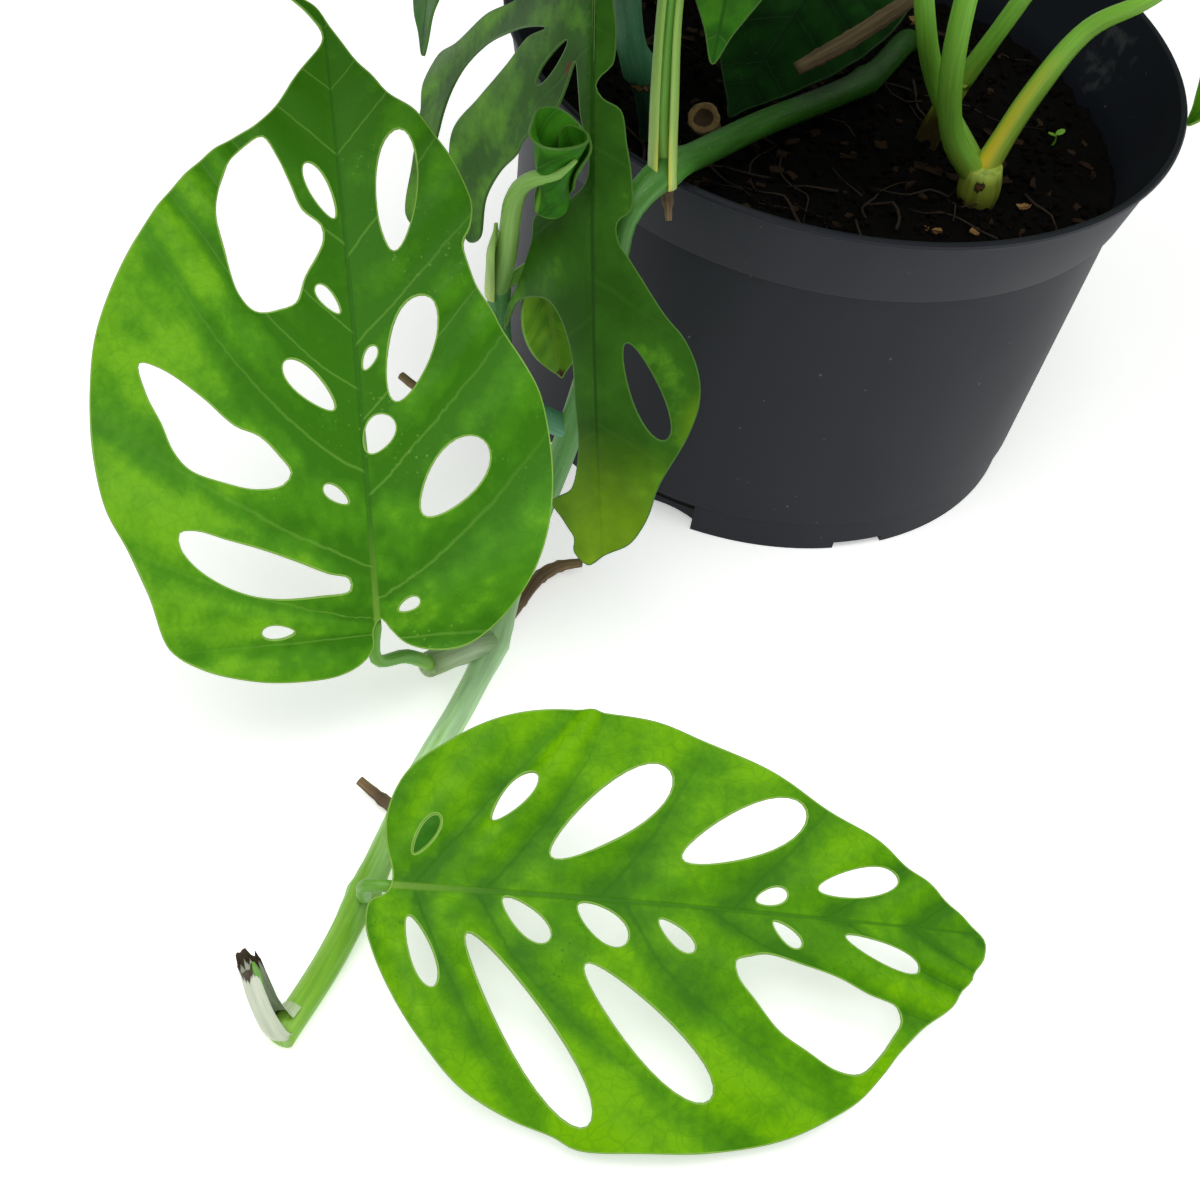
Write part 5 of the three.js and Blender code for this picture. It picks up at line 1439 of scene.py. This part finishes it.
def pot_cutter():
    cutter = bmesh.new()
    for width, height, start in NOTCHES:
        for i in range(3):
            turn = Matrix.Rotation(math.radians(start + 120 * i), 4, "Z")
            size = Matrix.Diagonal((6, width, 2 * height, 1))
            place = Matrix.Translation((FOOT_RING, 0, 0))
            bmesh.ops.create_cube(cutter, size=1, matrix=turn @ place @ size)
    for i in range(DRAIN_HOLES):
        turn = Matrix.Rotation(math.radians(360 / DRAIN_HOLES * (i + 0.5)), 4, "Z")
        bmesh.ops.create_cone(cutter, cap_ends=True, segments=24, radius1=DRAIN_RADIUS, radius2=DRAIN_RADIUS,
                              depth=20, matrix=turn @ Matrix.Translation((DRAIN_CIRCLE, 0, 0)))
    return cutter


def make_pot():
    bm = cut_by(spun(POT_PROFILE, POT_STEPS), pot_cutter())
    bm.transform(Matrix.Scale(MM, 4))
    piece = new_piece("pot_shell", bm, [pot_finish()], "pot")
    piece.data.set_sharp_from_angle(angle=CREASE)


make_pot()

# %% [markdown]
# ## The soil
# Potting mix is dark peat with bark chips, crumbs and dead roots. The mass is one spun body whose top is
# pushed about by noise; the loose bits are hundreds of very simple shapes, seeded so that each run is the
# same.

# %% Soil finishes
# Wet peat swallows light and has hardly any gloss. Crumbs are a shade lighter, bark chips are brown, and
# scraps that have dried are tan.
SOIL_FINISH = plain_finish("damp_peat_black", "#040303", "#0b0706", 0.95, 0.35, 0.1)
CRUMB_FINISH = plain_finish("peat_crumb_brown", "#060404", "#150d09", 0.95, 0.1, 0.1)
CHIP_FINISH = plain_finish("bark_chip_brown", "#1d120b", "#3a2718", 0.9, 0.3, 0.2)
SCRAP_FINISH = plain_finish("dry_scrap_tan", "#7a5a38", "#9a7648", 0.85, 0.5, 0.2)

# %% [markdown]
# The mass fills the pot to 26 mm under its lip. Its top follows a height rule, and so does every loose bit
# that is laid on it later, so that none floats.

# %% Soil
SOIL_LEVEL = 84
SOIL_RADIUS = 75.2
SOIL_FOOT = (69.8, 5.9)  # radius and height, just inside the pot's floor and wall
SOIL_RINGS = 46
SOIL_STEPS = 150
LIP_RADIUS = 85


def soil_height(x, y):
    """Low mounds that fade out towards the wall, with crumbs of 5 mm and 2 mm on them."""
    mounds = 1.6 * math.sin(x / 9 + 1.3) * math.cos(y / 11) + 1.1 * math.sin((x + y) / 5.3)
    fade = 1 - math.hypot(x, y) / LIP_RADIUS
    crumbs = 2.2 * noise.noise((x / 4.5, y / 4.5, 1)) + 0.9 * noise.noise((x / 1.8, y / 1.8, 4))
    return SOIL_LEVEL + mounds * fade + crumbs


def make_soil():
    top = [(SOIL_RADIUS * i / SOIL_RINGS, SOIL_LEVEL) for i in range(SOIL_RINGS, -1, -1)]
    bm = spun([(0, SOIL_FOOT[1]), SOIL_FOOT, *top], SOIL_STEPS)
    for vert in bm.verts:
        if vert.co.z > SOIL_LEVEL - 1:
            vert.co.z = soil_height(vert.co.x, vert.co.y)
    bm.transform(Matrix.Scale(MM, 4))
    new_piece("soil_mass", bm, [SOIL_FINISH], "soil")


make_soil()

# %% [markdown]
# Crumbs are small balls, squashed and turned at random. A particle system would scatter them too, but a loop
# with a seed gives the same crumbs each run and makes them one mesh.

# %% Crumbs
CRUMBS = 1500


def scattered(draw, reach=73):
    """A place on the soil, as likely anywhere within the reach."""
    r, turn = reach * math.sqrt(draw.random()), draw.uniform(0, 2 * math.pi)
    return r * math.cos(turn), r * math.sin(turn)


def make_crumbs():
    draw = random.Random(4)
    bm = bmesh.new()
    for _ in range(CRUMBS):
        x, y = scattered(draw)
        size = draw.uniform(0.5, 1.7)
        place = Matrix.Translation((x, y, soil_height(x, y) + size * 0.3))
        turn = Matrix.Rotation(draw.uniform(0, 6), 4, Vector((draw.random(), draw.random(), 0.3)))
        stretch = Matrix.Diagonal((size, size * draw.uniform(0.5, 1), size * draw.uniform(0.4, 0.9), 1))
        bmesh.ops.create_icosphere(bm, subdivisions=1, radius=1, matrix=place @ turn @ stretch)
    bm.transform(Matrix.Scale(MM, 4))
    new_piece("soil_crumbs", bm, [CRUMB_FINISH], smooth=False)


make_crumbs()

# %% [markdown]
# Bark chips are splinters. A box is near enough once its edges are cut and all its points are shaken, and
# the same goes for the few dry scraps that catch the light.

# %% Bark chips
CHIPS = 160
SCRAPS = [(40, -35.5), (-20, -48), (30, -38), (-8, -52), (52, -20), (-60, 20), (20, 55)]


def make_chips(name, finish, places, size):
    """Splinters of bark: boxes with their edges cut once and all their points shaken."""
    draw = random.Random(9)
    bm = bmesh.new()
    for x, y in places:
        place = Matrix.Translation((x, y, soil_height(x, y) + 0.6))
        turn = Matrix.Rotation(draw.uniform(0, 6.3), 4, "Z")
        turn = turn @ Matrix.Rotation(draw.uniform(-0.6, 0.6), 4, "X")
        long, wide, high = (size * draw.uniform(*span) for span in ((0.7, 2.2), (0.4, 1), (0.25, 0.6)))
        bmesh.ops.create_cube(bm, size=1, matrix=place @ turn @ Matrix.Diagonal((long, wide, high, 1)))
    bmesh.ops.subdivide_edges(bm, edges=bm.edges[:], cuts=1, use_grid_fill=True)
    for vert in bm.verts:
        vert.co += 0.28 * size * noise.noise_vector(vert.co * 0.8)
    bm.transform(Matrix.Scale(MM, 4))
    new_piece(name, bm, [finish], smooth=False)


bark_draw = random.Random(12)
make_chips("soil_bark_chips", CHIP_FINISH, [scattered(bark_draw, 70) for _ in range(CHIPS)], 2)
make_chips("soil_dry_scraps", SCRAP_FINISH, SCRAPS, 2.4)

# %% [markdown]
# Dead root fibres wander over the soil. Each takes a few steps and turns a little at every one, and a thin
# ring is swept along it.

# %% Root fibres
FIBRES = 40
FIBRE_STEP = 5


def make_fibres():
    draw = random.Random(21)
    bm = bmesh.new()
    for i in range(FIBRES):
        x, y = scattered(draw, 62)
        turn = draw.uniform(0, 6.3)
        points = []
        for _ in range(draw.randint(4, 8)):
            if math.hypot(x, y) > 71:
                break
            points.append((x, y, soil_height(x, y) + draw.uniform(0.3, 1.8)))
            turn += draw.uniform(-0.8, 0.8)
            x += FIBRE_STEP * math.cos(turn)
            y += FIBRE_STEP * math.sin(turn)
        if len(points) > 2:
            thick = draw.uniform(0.15, 0.5)
            sweep(bm, points, [(0, thick), (1, thick * 0.4)], sides=6, spacing=2.5, first=i)
    bm.verts.layers.float.new("scar")
    bm.transform(Matrix.Scale(MM, 4))
    new_piece("soil_root_fibres", bm, [FIBRE_BROWN])


make_fibres()

# %% [markdown]
# A weed has just sprouted in the soil. Its stalk is one more sweep, and its two seed leaves are flattened
# balls, which is near enough for something 3 mm long.

# %% Seedling
SEEDLING_PLACE = (58.8, 9.1)


def make_seedling():
    bm = bmesh.new()
    x, y = SEEDLING_PLACE
    top = soil_height(x, y) + 3
    sweep(bm, [(x, y, top - 4), (x + 0.4, y, top - 1.5), (x, y, top)], [(0, 0.3), (1, 0.25)], sides=6,
          spacing=1)
    for turn in (40, 220):
        tilt = Matrix.Rotation(math.radians(turn), 4, "Z") @ Matrix.Rotation(math.radians(-20), 4, "Y")
        place = Matrix.Translation((x, y, top)) @ tilt @ Matrix.Translation((1.5, 0, 0))
        bmesh.ops.create_uvsphere(bm, u_segments=10, v_segments=6, radius=1,
                                  matrix=place @ Matrix.Diagonal((1.5, 1, 0.2, 1)))
    bm.verts.layers.float.new("scar")
    bm.transform(Matrix.Scale(MM, 4))
    new_piece("seedling", bm, [SEED_LEAF])


make_seedling()

# %% [markdown]
# ## The floor and the light
# A white floor and two broad soft lights give the even light of a bright studio. The floor shines a little
# itself, so that its shadows stay faint.

# %% Floor and light
FLOOR_GLOW = 0.46
FLOOR_DROP = 0.0002  # keeps the floor just below the pot's foot
LIGHTS = [("key_light", (-0.2, -0.5, 1.45), 1.1, 16), ("fill_light", (0.85, 0.1, 1.2), 1.0, 5)]
WORLD_LIGHT = 0.32


def make_floor():
    bm = bmesh.new()
    bmesh.ops.create_grid(bm, x_segments=1, y_segments=1, size=4)
    mesh = bpy.data.meshes.new("floor")
    bm.to_mesh(mesh)
    bm.free()
    material, tree = new_material("matte_white_paper")
    shader = add_node(tree, "ShaderNodeBsdfPrincipled", {"Base Color": linear("#fafafa"), "Roughness": 0.9})
    shader.inputs["Emission Color"].default_value = linear("#ffffff")
    shader.inputs["Emission Strength"].default_value = FLOOR_GLOW
    add_node(tree, "ShaderNodeOutputMaterial", {"Surface": shader})
    mesh.materials.append(material)
    floor = bpy.data.objects.new("floor", mesh)
    floor.location.z = -FLOOR_DROP
    bpy.context.scene.collection.objects.link(floor)


def make_light(name, place, size, power):
    light = bpy.data.lights.new(name, "AREA")
    light.size = size
    light.energy = power
    lamp = bpy.data.objects.new(name, light)
    bpy.context.scene.collection.objects.link(lamp)
    lamp.location = place
    lamp.rotation_euler = (Vector((0, 0, 0.1)) - Vector(place)).to_track_quat("-Z", "Y").to_euler()


make_floor()
for light_row in LIGHTS:
    make_light(*light_row)
world = bpy.data.worlds.new("studio")
bpy.context.scene.world = world
world.use_nodes = True
background = world.node_tree.nodes["Background"]
background.inputs["Color"].default_value = linear("#ffffff")
background.inputs["Strength"].default_value = WORLD_LIGHT
bpy.context.scene.view_settings.view_transform = "Standard"
print("lights", len(LIGHTS))
